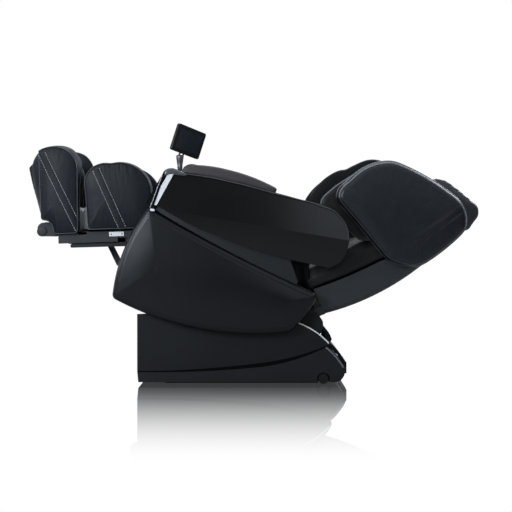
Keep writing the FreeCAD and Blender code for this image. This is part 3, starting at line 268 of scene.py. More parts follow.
def tracedLoop(spec, count, rounds):
    # a closed outline with arcs, as evenly spaced points, its corners eased by a few rounds of smoothing
    rough = []
    ends = [point for point in spec if len(point) == 2]
    position = 0
    for i, point in enumerate(spec):
        if len(point) == 3:
            continue
        after = spec[(i + 1) % len(spec)]
        stop = ends[(position + 1) % len(ends)]
        rough += arcPoints(point, after[:2], stop, 24) if len(after) == 3 else [point]
        position += 1
    lengths = [math.dist(rough[i], rough[(i + 1) % len(rough)]) for i in range(len(rough))]
    step = sum(lengths) / count
    loop = []
    walked, i = 0.0, 0
    for k in range(count):
        while walked + lengths[i] < k * step:
            walked += lengths[i]
            i += 1
        share = (k * step - walked) / lengths[i]
        a, b = rough[i], rough[(i + 1) % len(rough)]
        loop.append(Vector((a[0] + (b[0] - a[0]) * share, a[1] + (b[1] - a[1]) * share)))
    for _ in range(rounds):
        loop = [(loop[i - 1] + loop[i] * 2 + loop[(i + 1) % count]) / 4 for i in range(count)]
    area = sum(loop[i - 1].cross(loop[i]) for i in range(count))
    return loop if area > 0 else loop[::-1]


def turnsOf(count):
    return [math.tau * i / count for i in range(count)]


def outwards(loop):
    normals = []
    for i in range(len(loop)):
        along = (loop[(i + 1) % len(loop)] - loop[i - 1]).normalized()
        normals.append(Vector((along.y, -along.x)))
    return normals


def makeObject(name, mesh, material):
    piece = bpy.data.objects.new(name, mesh)
    bpy.context.collection.objects.link(piece)
    mesh.materials.clear()
    mesh.materials.append(material)
    return piece


def pieceOf(name, shape, look):
    mesh = bpy.data.meshes.new(name)
    shape.to_mesh(mesh)
    shape.free()
    return makeObject(name, mesh, looks[look])


def plainMesh(piece, smooth=False):
    # turns a piece with live modifiers, or a curve, into a plain mesh
    graph = bpy.context.evaluated_depsgraph_get()
    mesh = bpy.data.meshes.new_from_object(piece.evaluated_get(graph))
    name, material = piece.name, piece.data.materials[0]
    bpy.data.objects.remove(piece)
    if smooth:
        for face in mesh.polygons:
            face.use_smooth = True
    return makeObject(name, mesh, material)


def lace(shape, rows, around=True, smooth=True, capped=False):
    # lays faces between rows of points, all the way round or from end to end
    for near, far in zip(rows, rows[1:]):
        for i in range(len(near) if around else len(near) - 1):
            j = (i + 1) % len(near)
            shape.faces.new((near[i], near[j], far[j], far[i])).smooth = smooth
    if capped:
        shape.faces.new(rows[0])
        shape.faces.new(rows[-1])


def attach(piece, body, node=None):
    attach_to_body(piece, body)
    if node:
        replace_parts(piece, node)


# How sewn leather lies, in millimetres: slow and fine folds, each as its frequency and its height, gathers that die
# out away from a seam, and the groove of the seam itself.
sewn = {"folds": ((0.055, 0.8), (0.16, 0.35)), "gather": 0.42, "wander": 0.03, "gatherReach": 9, "groove": 1.8,
        "capReach": 60, "weld": 0.6, "wrinkles": ((0.05, 0.9), (0.13, 0.4)), "wrinkle": 0.8}
shoulder = {"from": 180, "over": 100, "facing": 0.35}


def foldAt(place, waves):
    return sum(noise.noise(place * often) * high for often, high in waves)


def flared(point, normal, amount):
    # moves an outline's point out, fully at the top, not at all below, and less where it faces the feet
    high = min(1, max(0, (point.y - shoulder["from"]) / shoulder["over"]))
    return point + normal * amount * high * min(1, max(0, normal.x + shoulder["facing"]))


def stuffed(name, axes, spec, inner, outer, side=1, look="nightHide", count=300, edge=9.0, crown=7.0,
            innerCrown=2.0, bulge=2.0, belly=10, capRings=9, rounds=4, pucker=0.5, relief=None, spine=None,
            front=None, seam=1.6, flare=0):
    # a sewn and stuffed piece: a crowned panel on each side and a gusset between them, with a seam at each edge
    loop = tracedLoop(spec, count, rounds)
    normal = outwards(loop)
    if spine is None:
        middle = sum(loop, Vector((0, 0))) / count
        spine = [middle, middle]
    start, stop = Vector(spine[0]), Vector(spine[1])
    reach = stop - start

    def towards(point):
        if reach.length < 1:
            return start
        return start + reach * min(1, max(0, (point - start).dot(reach) / reach.length_squared))

    rings = []  # each ring: its points, how far across it lies, and how near a seam it is
    for k in range(capRings, 0, -1):
        t = k / capRings
        rings.append(([(p - n * edge).lerp(towards(p), t) for p, n in zip(loop, normal)],
                      inner - innerCrown * (1 - (1 - t) ** 2.2), t * sewn["capReach"]))
    for k in range(5):
        a = math.radians(22.5 * k)
        rings.append(([p - n * edge * (1 - math.sin(a)) for p, n in zip(loop, normal)],
                      inner + edge * (1 - math.cos(a)), abs(2 - k) * edge * 0.4))
    for k in range(1, belly):
        s = k / belly
        rings.append(([p + n * bulge * math.sin(math.pi * s) for p, n in zip(loop, normal)],
                      inner + edge + (outer - inner - 2 * edge) * s,
                      min(s, 1 - s) * (outer - inner - 2 * edge) + edge * 0.8))
    for k in range(4, -1, -1):
        a = math.radians(22.5 * k)
        rings.append(([p - n * edge * (1 - math.sin(a)) for p, n in zip(loop, normal)],
                      outer - edge * (1 - math.cos(a)), abs(2 - k) * edge * 0.4))
    if front is not None:
        # the outer face stops short of the piece's front, and the gusset slants from there
        for index, (points, across, distance) in enumerate(rings):
            share = max(0, (across - inner - edge) / (outer - inner - 2 * edge)) ** 1.2 if index > capRings else 0
            points = [Vector((p.x + max(0, front - p.x) * min(1, share), p.y)) for p in points]
            rings[index] = (points, across, distance)
        loop = [Vector((max(front, p.x), p.y)) for p in loop]
    for k in range(1, capRings + 1):
        t = k / capRings
        rings.append(([(p - n * edge).lerp(towards(p), t) for p, n in zip(loop, normal)],
                      outer + crown * (1 - (1 - t) ** 2.2), t * sewn["capReach"]))
    if flare:
        # the inner side stands out further round the top, as a soft shoulder behind the outer face
        for index, (points, across, distance) in enumerate(rings):
            share = min(1, max(0, (outer - across) / (outer - inner)))
            share *= 1 - distance / sewn["capReach"] if index < capRings else 1
            rings[index] = ([flared(p, n, flare * share) for p, n in zip(points, normal)], across, distance)
    shape = bmesh.new()
    seamed = shape.verts.layers.float.new("fromSeam")
    rows = []
    for points, across, distance in rings:
        row = [shape.verts.new((point.x, side * across, point.y)) for point in points]
        for vertex in row:
            vertex[seamed] = distance
        rows.append(row)
    lace(shape, rows)
    bmesh.ops.remove_doubles(shape, verts=shape.verts, dist=sewn["weld"])
    bmesh.ops.recalc_face_normals(shape, faces=shape.faces)
    shape.normal_update()
    moves = []
    for vertex in shape.verts:
        place = vertex.co
        distance = vertex[seamed]
        fold = foldAt(place, sewn["folds"])
        gather = math.sin((place.x + place.z) * sewn["gather"] + 3 * noise.noise(place * sewn["wander"]))
        gather *= math.exp(-distance / sewn["gatherReach"])
        groove = -seam * math.exp(-(distance / sewn["groove"]) ** 2)
        extra = relief(place.x, abs(place.y), place.z, vertex.normal) if relief else 0
        moves.append(vertex.normal * (pucker * (fold + gather) + groove + extra))
    for vertex, move in zip(shape.verts, moves):
        vertex.co = placed(axes, *(vertex.co + move))
    return pieceOf(name, shape, look)


# the air that swells a cushion's cover, in metres and Blender's own cloth units
air = {"voxel": 0.0075, "pressure": 4.0, "quality": 5, "mass": 0.4, "stiffness": 25, "bending": 1.5, "frames": 20}


def puffed(piece, held, cap):
    # air pressure rounds the cover out between the places where it is held, and no point moves more than the cap
    remesh = piece.modifiers.new("even", "REMESH")
    remesh.mode = "VOXEL"
    remesh.voxel_size = air["voxel"]
    piece = plainMesh(piece)
    rest = [vertex.co.copy() for vertex in piece.data.vertices]
    group = piece.vertex_groups.new(name="held")
    group.add([i for i, point in enumerate(rest) if held(point)], 1.0, "ADD")
    cloth = piece.modifiers.new("cover", "CLOTH")
    cloth.settings.quality = air["quality"]
    cloth.settings.mass = air["mass"]
    cloth.settings.tension_stiffness = cloth.settings.compression_stiffness = air["stiffness"]
    cloth.settings.bending_stiffness = air["bending"]
    cloth.settings.use_pressure = True
    cloth.settings.uniform_pressure_force = air["pressure"]
    cloth.settings.effector_weights.gravity = 0
    cloth.settings.vertex_group_mass = "held"
    cloth.point_cache.frame_start = 1
    cloth.point_cache.frame_end = air["frames"]
    for step in range(1, air["frames"] + 1):
        bpy.context.scene.frame_set(step)
    graph = bpy.context.evaluated_depsgraph_get()
    swollen = [vertex.co.copy() for vertex in piece.evaluated_get(graph).data.vertices]
    piece.modifiers.clear()
    for vertex, start, stop in zip(piece.data.vertices, rest, swollen):
        move = stop - start
        if move.length > cap:
            move *= cap / move.length
        vertex.co = start + move
    bpy.context.scene.frame_set(1)
    smooth = piece.modifiers.new("fair", "SMOOTH")
    smooth.iterations = 6
    finer = piece.modifiers.new("finer", "SUBSURF")
    finer.levels = finer.render_levels = 1
    return plainMesh(piece, smooth=True)


def carved(piece, axes, relief):
    # presses seams, channels and wrinkles into a finished surface
    moves = []
    for vertex in piece.data.vertices:
        place = unplaced(axes, vertex.co)
        tip = unplaced(axes, vertex.co + vertex.normal / 1000) - place
        fold = sewn["wrinkle"] * foldAt(place, sewn["wrinkles"])
        moves.append(vertex.normal * ((relief(place.x, abs(place.y), place.z, tip) + fold) / 1000))
    for vertex, move in zip(piece.data.vertices, moves):
        vertex.co += move
    return piece


def surfaceOf(piece):
    shape = bmesh.new()
    shape.from_mesh(piece.data)
    tree = BVHTree.FromBMesh(shape)
    shape.free()
    return tree


def laidOn(tree, axes, points, side, lift):
    # lays flat points on a piece's outer face, a little proud of it, looking at it across the chair
    laid = []
    for x, z in points:
        origin = placed(axes, x, side * 600, z)
        hit, normal, _, _ = tree.ray_cast(origin, Vector((0, -side, 0)))
        if hit:
            laid.append(hit + Vector((0, side, 0)) * lift / 1000)
    return laid


def straight(start, stop, step=6.0):
    count = max(2, round(math.dist(start, stop) / step))
    return [(start[0] + (stop[0] - start[0]) * i / count, start[1] + (stop[1] - start[1]) * i / count)
            for i in range(count + 1)]


def tube(name, points, radius, look, closed=False):
    curve = bpy.data.curves.new(name, "CURVE")
    curve.dimensions = "3D"
    curve.bevel_depth = radius / 1000
    curve.bevel_resolution = 2
    curve.use_fill_caps = not closed
    spline = curve.splines.new("POLY")
    spline.points.add(len(points) - 1)
    for target, point in zip(spline.points, points):
        target.co = (*point, 1)
    spline.use_cyclic_u = closed
    return plainMesh(makeObject(name, curve, looks[look]), smooth=True)


def thickened(piece, thickness):
    wall = piece.modifiers.new("wall", "SOLIDIFY")
    wall.thickness = thickness
    wall.offset = 0
    return plainMesh(piece)


def joined(name, pieces, look):
    # one mesh from several
    shape = bmesh.new()
    for piece in pieces:
        shape.from_mesh(piece.data)
        bpy.data.objects.remove(piece)
    return pieceOf(name, shape, look)


# Stitches and perforations: one small grain at each step along every line, in metres. They are about twice as
# coarse as the real thread and holes, so that they show at the picture's size.
grains = {"stitches": {"look": "thread", "Pitch": 0.0105, "Length": 0.0082, "Thickness": 0.0021},
          # the perforations are black grains: painted shade in each hole
          "perforations": {"look": "blackHideAndShade", "Pitch": 0.0085, "Length": 0.0038, "Thickness": 0.0034}}


def stitchTree(look):
    tree = bpy.data.node_groups.new("stitchRow", "GeometryNodeTree")
    tree.interface.new_socket("Geometry", in_out="INPUT", socket_type="NodeSocketGeometry")
    for name in ("Pitch", "Length", "Thickness"):
        tree.interface.new_socket(name, in_out="INPUT", socket_type="NodeSocketFloat")
    tree.interface.new_socket("Geometry", in_out="OUTPUT", socket_type="NodeSocketGeometry")
    given = addNode(tree, "NodeGroupInput")
    line = addNode(tree, "GeometryNodeMeshToCurve", {"Mesh": given.outputs["Geometry"]})
    steps = addNode(tree, "GeometryNodeCurveToPoints", {"Curve": line.outputs["Curve"],
                                                        "Length": given.outputs["Pitch"]}, mode="LENGTH")
    capsule = addNode(tree, "GeometryNodeMeshUVSphere", Segments=6, Rings=4, Radius=0.5)
    size = addNode(tree, "ShaderNodeCombineXYZ", {"X": given.outputs["Thickness"], "Y": given.outputs["Thickness"],
                                                  "Z": given.outputs["Length"]})
    row = addNode(tree, "GeometryNodeInstanceOnPoints",
                  {"Points": steps.outputs["Points"], "Instance": capsule.outputs["Mesh"],
                   "Rotation": steps.outputs["Rotation"], "Scale": size.outputs["Vector"]})
    real = addNode(tree, "GeometryNodeRealizeInstances", {"Geometry": row.outputs["Instances"]})
    coated = addNode(tree, "GeometryNodeSetMaterial", {"Geometry": real.outputs["Geometry"]})
    coated.inputs["Material"].default_value = looks[look]
    out = addNode(tree, "NodeGroupOutput")
    tree.links.new(coated.outputs["Geometry"], out.inputs["Geometry"])
    return tree


seamLines = {}  # (kind, body): list of lines, each a list of points


def sew(body, points, kind):
    if len(points) > 1:
        seamLines.setdefault((kind, body), []).append(points)


def makeStitches():
    trees = {kind: stitchTree(grain["look"]) for kind, grain in grains.items()}
    for (kind, body), seams in seamLines.items():
        tree, grain = trees[kind], grains[kind]
        points = [point for line in seams for point in line]
        edges, first = [], 0
        for line in seams:
            edges += [(first + i, first + i + 1) for i in range(len(line) - 1)]
            first += len(line)
        mesh = bpy.data.meshes.new("seams")
        mesh.from_pydata(points, edges, [])
        piece = makeObject(kind + "_" + body, mesh, looks[grain["look"]])
        modifier = piece.modifiers.new("stitches", "NODES")
        modifier.node_group = tree
        for item in tree.interface.items_tree:
            if item.item_type == "SOCKET" and item.in_out == "INPUT" and item.name in grain:
                modifier[item.identifier] = grain[item.name]
        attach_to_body(plainMesh(piece), body)
        print(kind, "sewn on", body)


# A band: its mesh's columns and step, how proud its middle lies, how far outside it the seams run, where the rows of
# holes lie as shares of its half width, the step along a row, and each row's lift off the leather.
strip = {"columns": 8, "step": 4, "rise": 1.3, "seam": 0.5, "holes": (-0.05, 0.35, 0.75), "sewStep": 5,
         "lift": {"stitches": 0.8, "perforations": 1.0}}


def bandOn(name, piece, axes, start, stop, half, side, body):
    # a sewn-on strip across an outer face: its perforated middle lies proud between two double seams
    tree = surfaceOf(piece)
    along = Vector((stop[0] - start[0], stop[1] - start[1])).normalized()
    across = Vector((-along.y, along.x))
    shape = bmesh.new()
    uv = shape.loops.layers.uv.new("strip")
    rows = []
    for centre in straight(start, stop, strip["step"]):
        row = []
        for j in range(strip["columns"] + 1):
            s = -1 + 2 * j / strip["columns"]
            laid = laidOn(tree, axes, [Vector(centre) + across * half * s], side, strip["rise"] * (1 - abs(s) ** 6))
            row.append(shape.verts.new(laid[0]) if laid else None)
        rows.append(row)
    for k, (near, far) in enumerate(zip(rows, rows[1:])):
        for j in range(strip["columns"]):
            corners = (near[j], near[j + 1], far[j + 1], far[j])
            if None in corners:
                continue
            face = shape.faces.new(corners)
            face.smooth = True
            for loop, (a, b) in zip(face.loops, ((j, k), (j + 1, k), (j + 1, k + 1), (j, k + 1))):
                loop[uv].uv = (a / strip["columns"] * half * 2 / 1000, b * strip["step"] / 1000)
    bmesh.ops.recalc_face_normals(shape, faces=shape.faces)
    if sum(face.normal.y for face in shape.faces) * side < 0:
        bmesh.ops.reverse_faces(shape, faces=shape.faces)
    attach(pieceOf(name, shape, "bandHide"), body)
    outside = half + strip["seam"]
    turn = 1 if across.x > 0 else -1
    seams = [("stitches", offset) for offset in (-outside, outside)]
    seams += [("perforations", turn * half * share) for share in strip["holes"]]
    for kind, offset in seams:
        line = [tuple(Vector(p) + across * offset) for p in straight(start, stop, strip["sewStep"])]
        sew(body, laidOn(tree, axes, line, side, strip["lift"][kind]), kind)


def edgeOf(axes, spec, inset, across, side, rounds, front=None, flare=0, above=None):
    # the line of a seam: the outline moved in by an inset, at one distance across the chair
    count = 200
    loop = tracedLoop(spec, count, rounds)
    normals = outwards(loop)
    line = [flared(p - n * inset, n, flare) for p, n in zip(loop, normals)]
    if above is not None:
        # only the stretch that faces up
        facing = [n.y > above for n in normals]
        first = next(i for i in range(count) if facing[i] and not facing[i - 1])
        line = [line[(first + k) % count] for k in range(count) if facing[(first + k) % count]]
    return [placed(axes, p.x if front is None else max(front, p.x), side * across, p.y) for p in line]


# Calf lobes and foot lobes, each with its band, its piping and a real seam on either side of the band.
calf = {"outline": [(-321, -4), (-327, 164), (-300, 252, 1), (-219, 269), (-110, 252, 1), (-55, 184), (-48, 60, 1),
                    (-60, -4)],
        "band": ((-276.5, 243), (-178, 2)), "spine": ((-245, 120), (-140, 120)), "front": None, "flare": 5}
foot = {"outline": [(-553, 262), (-525, 325, 1), (-467, 348), (-400, 335, 1), (-354, 248), (-363, -17), (-467, -17),
                    (-474, 29, 1), (-515, 43), (-541, 150, 1)],
        "band": ((-499, 316), (-360, 3)), "spine": ((-455, 110), (-450, 240)), "front": -513, "flare": 15}
# each rope: how far in from the lobe's outer or inner side it lies, and how far in from its outline
lobeSize = {"inner": 173.5, "outer": 235, "edge": 9, "bandHalf": 14, "piping": 2.0, "innerFlare": 0.93,
            "outerRope": (1.5, 2.0), "innerRope": (5, 1.0), "rounds": 10}
for label, lobe, body in (("calf", calf, "legrest"), ("foot", foot, "footrest")):
    inner, outer = lobeSize["inner"], lobeSize["outer"]
    for sideName, side in sides:
        piece = stuffed("%sLobe_%s" % (label, sideName), "legs", lobe["outline"], inner, outer, side,
                        edge=lobeSize["edge"], spine=lobe["spine"], front=lobe["front"],
                        rounds=lobeSize["rounds"], flare=lobe["flare"])
        attach(piece, body, "%s_lobe_%s" % (label, sideName))
        bandOn("%sBand_%s" % (label, sideName), piece, "legs", *lobe["band"], lobeSize["bandHalf"], side, body)
        (outerIn, outerInset), (innerIn, innerInset) = lobeSize["outerRope"], lobeSize["innerRope"]
        for across, inset, front, flare in (
                (outer - outerIn, outerInset, lobe["front"], 0),
                (inner + innerIn, innerInset, None, lobe["flare"] * lobeSize["innerFlare"])):
            line = edgeOf("legs", lobe["outline"], inset, across, side, lobeSize["rounds"], front, flare)
            rope = tube("%sPiping_%s_%d" % (label, sideName, across), line, lobeSize["piping"], "pipingHighlightHide", True)
            attach(rope, body)
print("leg lobes done")

# Wings beside the head.
wing = {"outline": [(318, 303), (345, 340, 1), (390, 350), (500, 372, 1), (596, 342), (668, 255, 1), (748, 122),
                    (770, 30, 1), (737, -38), (620, -72, 1), (508, -89), (437, -48, 1), (395, -1), (372, 95, 1)],
        "inner": 263, "outer": 330, "edge": 24, "spine": ((440, 200), (640, 60)), "fill": 0.7,
        "lip": [(246, 317), (270, 340), (343, 359), (432, 369), (508, 374), (575, 340), (600, 200), (440, 60),
                (330, 112), (290, 205), (256, 285)], "lipIn": 258, "lipOut": 270.5,
        # each rope: the outline that it follows, how far across, how far in, and its radius
        "ropes": (("outline", 297, -2.4, 2.2), ("outline", 322, 6.6, 1.6), ("lip", 269.5, 2, 2.2)),
        "highlightAbove": 0.2, "highlightMore": 1.8, "ropeRounds": 12}
pleat = {"within": 12, "start": 455, "reach": 305, "x": 471, "z": -4, "length": 273, "slope": 0.1, "sag": 14,
         "deep": 4.5, "wide": 3.2, "full": 2.2, "fullWide": 12}


def pleatRelief(x, y, z, normal):
    # the pleat low on the wing: a tuck that dies out at both ends, with the leather fuller above it
    if y < wing["outer"] - pleat["within"] or not pleat["start"] < x < pleat["start"] + pleat["reach"]:
        return 0
    along = x - pleat["x"]
    gap = z - (pleat["z"] + along * pleat["slope"] + pleat["sag"] * (along / pleat["length"]) ** 2)
    strength = max(0.0, math.sin(math.pi * min(1, max(0, (x - pleat["start"]) / pleat["reach"])))) ** 0.5
    tuck = -pleat["deep"] * math.exp(-(gap / pleat["wide"]) ** 2)
    return strength * (tuck + pleat["full"] * math.exp(-((gap - pleat["sag"]) / pleat["fullWide"]) ** 2))


for sideName, side in sides:
    piece = stuffed("wing_panel_" + sideName, "back", wing["outline"], wing["inner"], wing["outer"], side, "wingHide",
                    420, edge=wing["edge"], crown=8, bulge=3, belly=12, capRings=16, rounds=14, relief=pleatRelief,
                    spine=wing["spine"])
    attach(piece, "backrest", "wing_" + sideName)
    lip = stuffed("wing_lip_" + sideName, "back", wing["lip"], wing["lipIn"], wing["lipOut"], side, "umberHide",
                  edge=3.5, crown=0, innerCrown=2, bulge=0.5, belly=4, rounds=8)
    attach(lip, "backrest")
    # the piping runs all round; over it, along the stretches that face up, a pale thicker rim is a painted highlight
    # on the wing's top edges
    for label, above, more, look in (("Piping", None, 0, "pipingHighlightHide"),
                                     ("Rim", wing["highlightAbove"], wing["highlightMore"], "rimHighlightHide")):
        ropes = []
        for path, across, inset, thick in wing["ropes"]:
            line = edgeOf("back", wing[path], inset, across, side, wing["ropeRounds"], above=above)
            ropes.append(tube("rope", line, thick + more, look, above is None))
        attach(joined("wing%s_%s" % (label, sideName), ropes, look), "backrest")
print("wings done")

# The dark rolls that close the back's sides behind the wings, and the rubber skirts behind the seat.
sideRolls = {
    "shoulderRoll": {"axes": "back", "body": "backrest", "look": "blackHideAndShade", "slot": "leather", "edge": 6,
                     "inner": 235, "outer": 260, "fill": 0.6,
                     "outline": [(242, 184), (212, 304), (216, 356), (290, 398, 1), (372, 411), (392, 409),
                                 (407, 399), (425, 402), (484, 401), (552, 374, 1), (587, 322), (595, 193),
                                 (510, 134), (306, 134)]},
    "seatSkirt": {"axes": "seat", "body": "seat", "look": "rubber", "slot": "rubber", "edge": 3,
                  "inner": 274, "outer": 283, "fill": None,
                  "outline": [(62, 99), (112, 91), (156, 75), (176, 59), (186, 32), (182, 6), (152, -13), (96, -19)]}}
for name, roll in sideRolls.items():
    for sideName, side in sides:
        piece = stuffed("%s_%s" % (name, sideName), roll["axes"], roll["outline"], roll["inner"], roll["outer"], side,
                        roll["look"], count=160, edge=roll["edge"], crown=1, innerCrown=1, bulge=1, belly=4,
                        capRings=5, pucker=0.3)
        attach(piece, roll["body"])

# Pleated leather that joins the seat's side to the back's, between two lines in the chair's own x and z.
hipCloth = {"seat": [(150, 396), (150, 450), (158, 500), (172, 540)],
            "back": [(292, 385), (284, 430), (280, 480), (290, 535)], "across": 248, "pleat": 2.5, "waves": 5,
            "steps": 16, "wall": 0.0014, "flat": (0.15, 0.135), "start": (0.16, 0.46), "end": (0.28, 0.46)}
for sideName, side in sides:
    shape = bmesh.new()
    rows = []
    for i in range(hipCloth["steps"] + 1):
        t = i / hipCloth["steps"]
        y = hipCloth["across"] + hipCloth["pleat"] * math.sin(t * math.pi * hipCloth["waves"])
        rows.append([shape.verts.new(((ax + (bx - ax) * t) / 1000, side * y / 1000, (az + (bz - az) * t) / 1000))
                     for (ax, az), (bx, bz) in zip(hipCloth["seat"], hipCloth["back"])])
    lace(shape, rows, around=False)
    piece = thickened(pieceOf("hipGusset_" + sideName, shape, "blackHideAndShade"), hipCloth["wall"])
    start, end = [(x, side * hipCloth["across"] / 1000, z) for x, z in (hipCloth["start"], hipCloth["end"])]
    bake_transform(piece)
print("side rolls done")

# Arm pads.
armPad = {"outline": [(77, 148), (80, 170), (96, 187, 1), (132, 192), (190, 197, 1), (257, 195), (385, 177, 1),
                      (471, 152), (466, 128), (300, 145, 1)], "inner": 277, "outer": 349}
for sideName, side in sides:
    piece = stuffed("armRest_" + sideName, "arms", armPad["outline"], armPad["inner"], armPad["outer"], side,
                    "armHide", edge=7, crown=1.5, innerCrown=1.5, bulge=1.5, belly=14)
    attach(piece, "arm_" + sideName, "arm_pad_" + sideName)

# Seat cushion, back pad and head pillow: long sewn rolls from side to side.
cushion = {"outline": [(-507, 201), (-541, 262), (-557, 292, 1), (-509, 300), (-273, 201, 1), (-18, 153),
                       (18, 133, 1), (20, 68), (15, 62), (-18, 89), (-262, 133, 1)], "half": 255}
backPad = {"outline": [(46, 5), (48, 90), (57, 104, 1), (85, 106), (400, 112, 1), (722, 104), (746, 96, 1),
                       (751, 72), (743, -43), (560, -19), (370, -2), (185, 3, 1), (72, 15)], "half": 257}
pillow = {"outline": [(519, 82), (523, 120), (646, 168, 1), (769, 164), (837, 56), (855, 0, 1), (816, -35),
                      (778, -58), (756, -50), (752, 72), (722, 105), (540, 113)], "half": 149}


def quilted(across, along, width, depth, low=0.3):
    # sewn channels on the side that the sitter touches: some run lengthwise, and some from side to side
    def relief(x, y, z, normal):
        if normal.z < low:
            return 0
        return -depth * (sum(math.exp(-((y - place) / width) ** 2) for place in across)
                         + sum(math.exp(-((x - place) / width) ** 2) for place in along if y < across[-1]))
    return relief


rolls = {"seatRoll": {"form": cushion, "axes": "seat", "body": "seat", "node": "seat_cushion", "look": "umberHide",
                      "slot": "brown_leather", "fill": 0.7, "under": 24, "cap": 0.016,
                      "relief": quilted((96, 196), (-420, -330, -240, -150), 5, 5)},
         "backRoll": {"form": backPad, "axes": "back", "body": "backrest", "node": "back_pad", "look": "umberHide",
                      "slot": "brown_leather", "fill": 0.6, "under": 60, "cap": 0.012,
                      "relief": quilted((70, 190), (150, 250, 350, 450, 550), 5, 5)},
         "headRoll": {"form": pillow, "axes": "back", "body": "backrest", "node": "head_pillow", "look": "slatePaintedLightHide",
                      "slot": "leather", "fill": 0.8, "under": 118, "cap": 0.014,
                      "relief": quilted((0.0, 104), (), 4, 3)}}
for name, roll in rolls.items():
    form = roll["form"]
    half = form["half"] - 6  # the cover swells out to the cushion's full width
    piece = stuffed(name, roll["axes"], form["outline"], -half, half, 1, roll["look"], edge=12, crown=4, innerCrown=4,
                    bulge=1, belly=70, pucker=0)

    def touching(point):
        return unplaced(roll["axes"], point).z < roll["under"]

    piece = puffed(piece, touching, roll["cap"])
    piece = carved(piece, roll["axes"], roll["relief"])
    attach(piece, roll["body"], roll["node"])
    print("roll sewn:", name, len(piece.data.vertices))

# The soft flap folded over the top of the head pillow, paler as painted light from above.
flap = {"outline": [(700, 150), (748, 202), (782, 176), (815, 113), (840, 56), (853, 2), (837, -3), (824, 40),
                    (792, 108), (750, 148)], "half": 138, "spine": ((745, 172), (836, 40))}
piece = stuffed("pillowFlap", "back", flap["outline"], -flap["half"], flap["half"], 1, "flapPaintedLightHide", 200, edge=4,
                crown=2, innerCrown=2, bulge=1, belly=36, capRings=4, rounds=3, pucker=1.2, spine=flap["spine"])
attach(piece, "backrest")

# The calf rest's and the foot rest's inner pads.
calfWell = {"floor": [(-318, -4), (-322, 72), (-58, 72), (-51, 34), (-60, -4)], "half": 172,
            "ridge": [(-312, 60), (-314, 168), (-290, 232, 1), (-218, 246), (-119, 230, 1), (-73, 168), (-66, 60)]}
footWell = {"floor": [(-466, -16), (-473, 29, 1), (-514, 44), (-545, 148, 1), (-569, 268), (-545, 290), (-524, 290),
                      (-504, 74), (-487, 62), (-366, 62), (-364, -16)], "half": 172,
            "ridge": [(-500, 50), (-532, 222), (-504, 307, 1), (-448, 318), (-392, 296, 1), (-372, 185), (-372, 50)]}
for name, well, body, node in (("calfWell", calfWell, "legrest", "calf_cradle"),
                               ("footWell", footWell, "footrest", "foot_cradle")):
    floorPad = stuffed(name, "legs", well["floor"], -well["half"], well["half"], 1, "blackHideAndShade", edge=6, crown=0,
                       innerCrown=0, bulge=0, belly=40, rounds=3, relief=quilted((100,), (), 8, 3))
    ridge = stuffed(name + "_ridge", "legs", well["ridge"], -24, 24, 1, "blackHideAndShade", edge=10, crown=4, innerCrown=4,
                    bulge=2, belly=8, rounds=8)
    attach(joined(name, [floorPad, ridge], "blackHideAndShade"), body, node)
print("leg pads done")

# Loose cloth between the calf rest and the foot rest: a channel's floor, walls and top that sag between its two ends.
gusset = {"near": -324, "far": -362, "low": -5, "high": 92, "half": 168, "steps": 24, "columns": 20, "sag": 9,
          "wall": 0.0012, "flat": (0.866, 0.042), "ripple": (0.09, 4, 3), "pull": 0.6, "lift": 0.08, "drop": 0.3,
          "hang": 0.8}
columns = gusset["columns"]
ring = [(-1, 0), (-1, 0.5), (-1, 1)] + [(-1 + j / columns, 1) for j in range(1, 2 * columns)]
ring += [(1, 1), (1, 0.5), (1, 0)] + [(1 - j / columns, 0) for j in range(1, 2 * columns)]
shape = bmesh.new()
rows = []
for i in range(gusset["steps"] + 1):
    s = i / gusset["steps"]
    x = gusset["near"] + (gusset["far"] - gusset["near"]) * s
    sag = math.sin(math.pi * s)
    rows.append([])
    for across, up in ring:
        ripple = noise.noise(Vector((x, across, up)) * Vector(gusset["ripple"]))
        y = across * (gusset["half"] - gusset["sag"] * sag * (gusset["pull"] + ripple))
        share = gusset["lift"] * sag + up * (1 - gusset["drop"] * sag * (gusset["hang"] + ripple))
        z = gusset["low"] + (gusset["high"] - gusset["low"]) * share
        rows[-1].append(shape.verts.new(placed("legs", x, y, z)))
lace(shape, rows)
bmesh.ops.recalc_face_normals(shape, faces=shape.faces)
gapCloth = thickened(pieceOf("gapCloth", shape, "cloth"), gusset["wall"])
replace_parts(gapCloth, "leg_bellows")
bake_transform(gapCloth)


# Fittings: the roller's end caps, and the slide's riveted plates and ribs.
def boxOf(shape, axes, low, high, side=1):
    corners = [shape.verts.new(placed(axes, x, side * y, z))
               for x in (low[0], high[0]) for y in (low[1], high[1]) for z in (low[2], high[2])]
    for face in ((0, 1, 3, 2), (4, 6, 7, 5), (0, 4, 5, 1), (2, 3, 7, 6), (0, 2, 6, 4), (1, 5, 7, 3)):
        shape.faces.new([corners[i] for i in face])


def finishedShape(name, shape, look, body, soften):
    bmesh.ops.recalc_face_normals(shape, faces=shape.faces)
    piece = pieceOf(name, shape, look)
    rounded = piece.modifiers.new("edges", "BEVEL")
    rounded.width = soften
    rounded.segments = 2
    piece = plainMesh(piece)
    attach(piece, body)
    return piece


def disc(shape, axes, x, z, radius, low, high, side, dish, count=40):
    # a turned button across the chair: a rim, and a face that may be dished or domed
    rings = [(radius, low), (radius, high - 1), (radius - 1, high), (radius * 0.55, high + dish),
             (radius * 0.3, high + dish * 1.15)]
    lace(shape, [[shape.verts.new(placed(axes, x + r * math.cos(turn), side * y, z + r * math.sin(turn)))
                  for turn in turnsOf(count)] for r, y in rings], smooth=False, capped=True)


rollerCap = {"x": -524, "z": -3, "radius": 21.4, "low": 168.7, "high": 172.4, "dish": 1.5}
shape = bmesh.new()
for _, side in sides:
    disc(shape, "legs", side=side, **rollerCap)
finishedShape("rollerCaps", shape, "greyRubber", "roller", soften=0.0006)

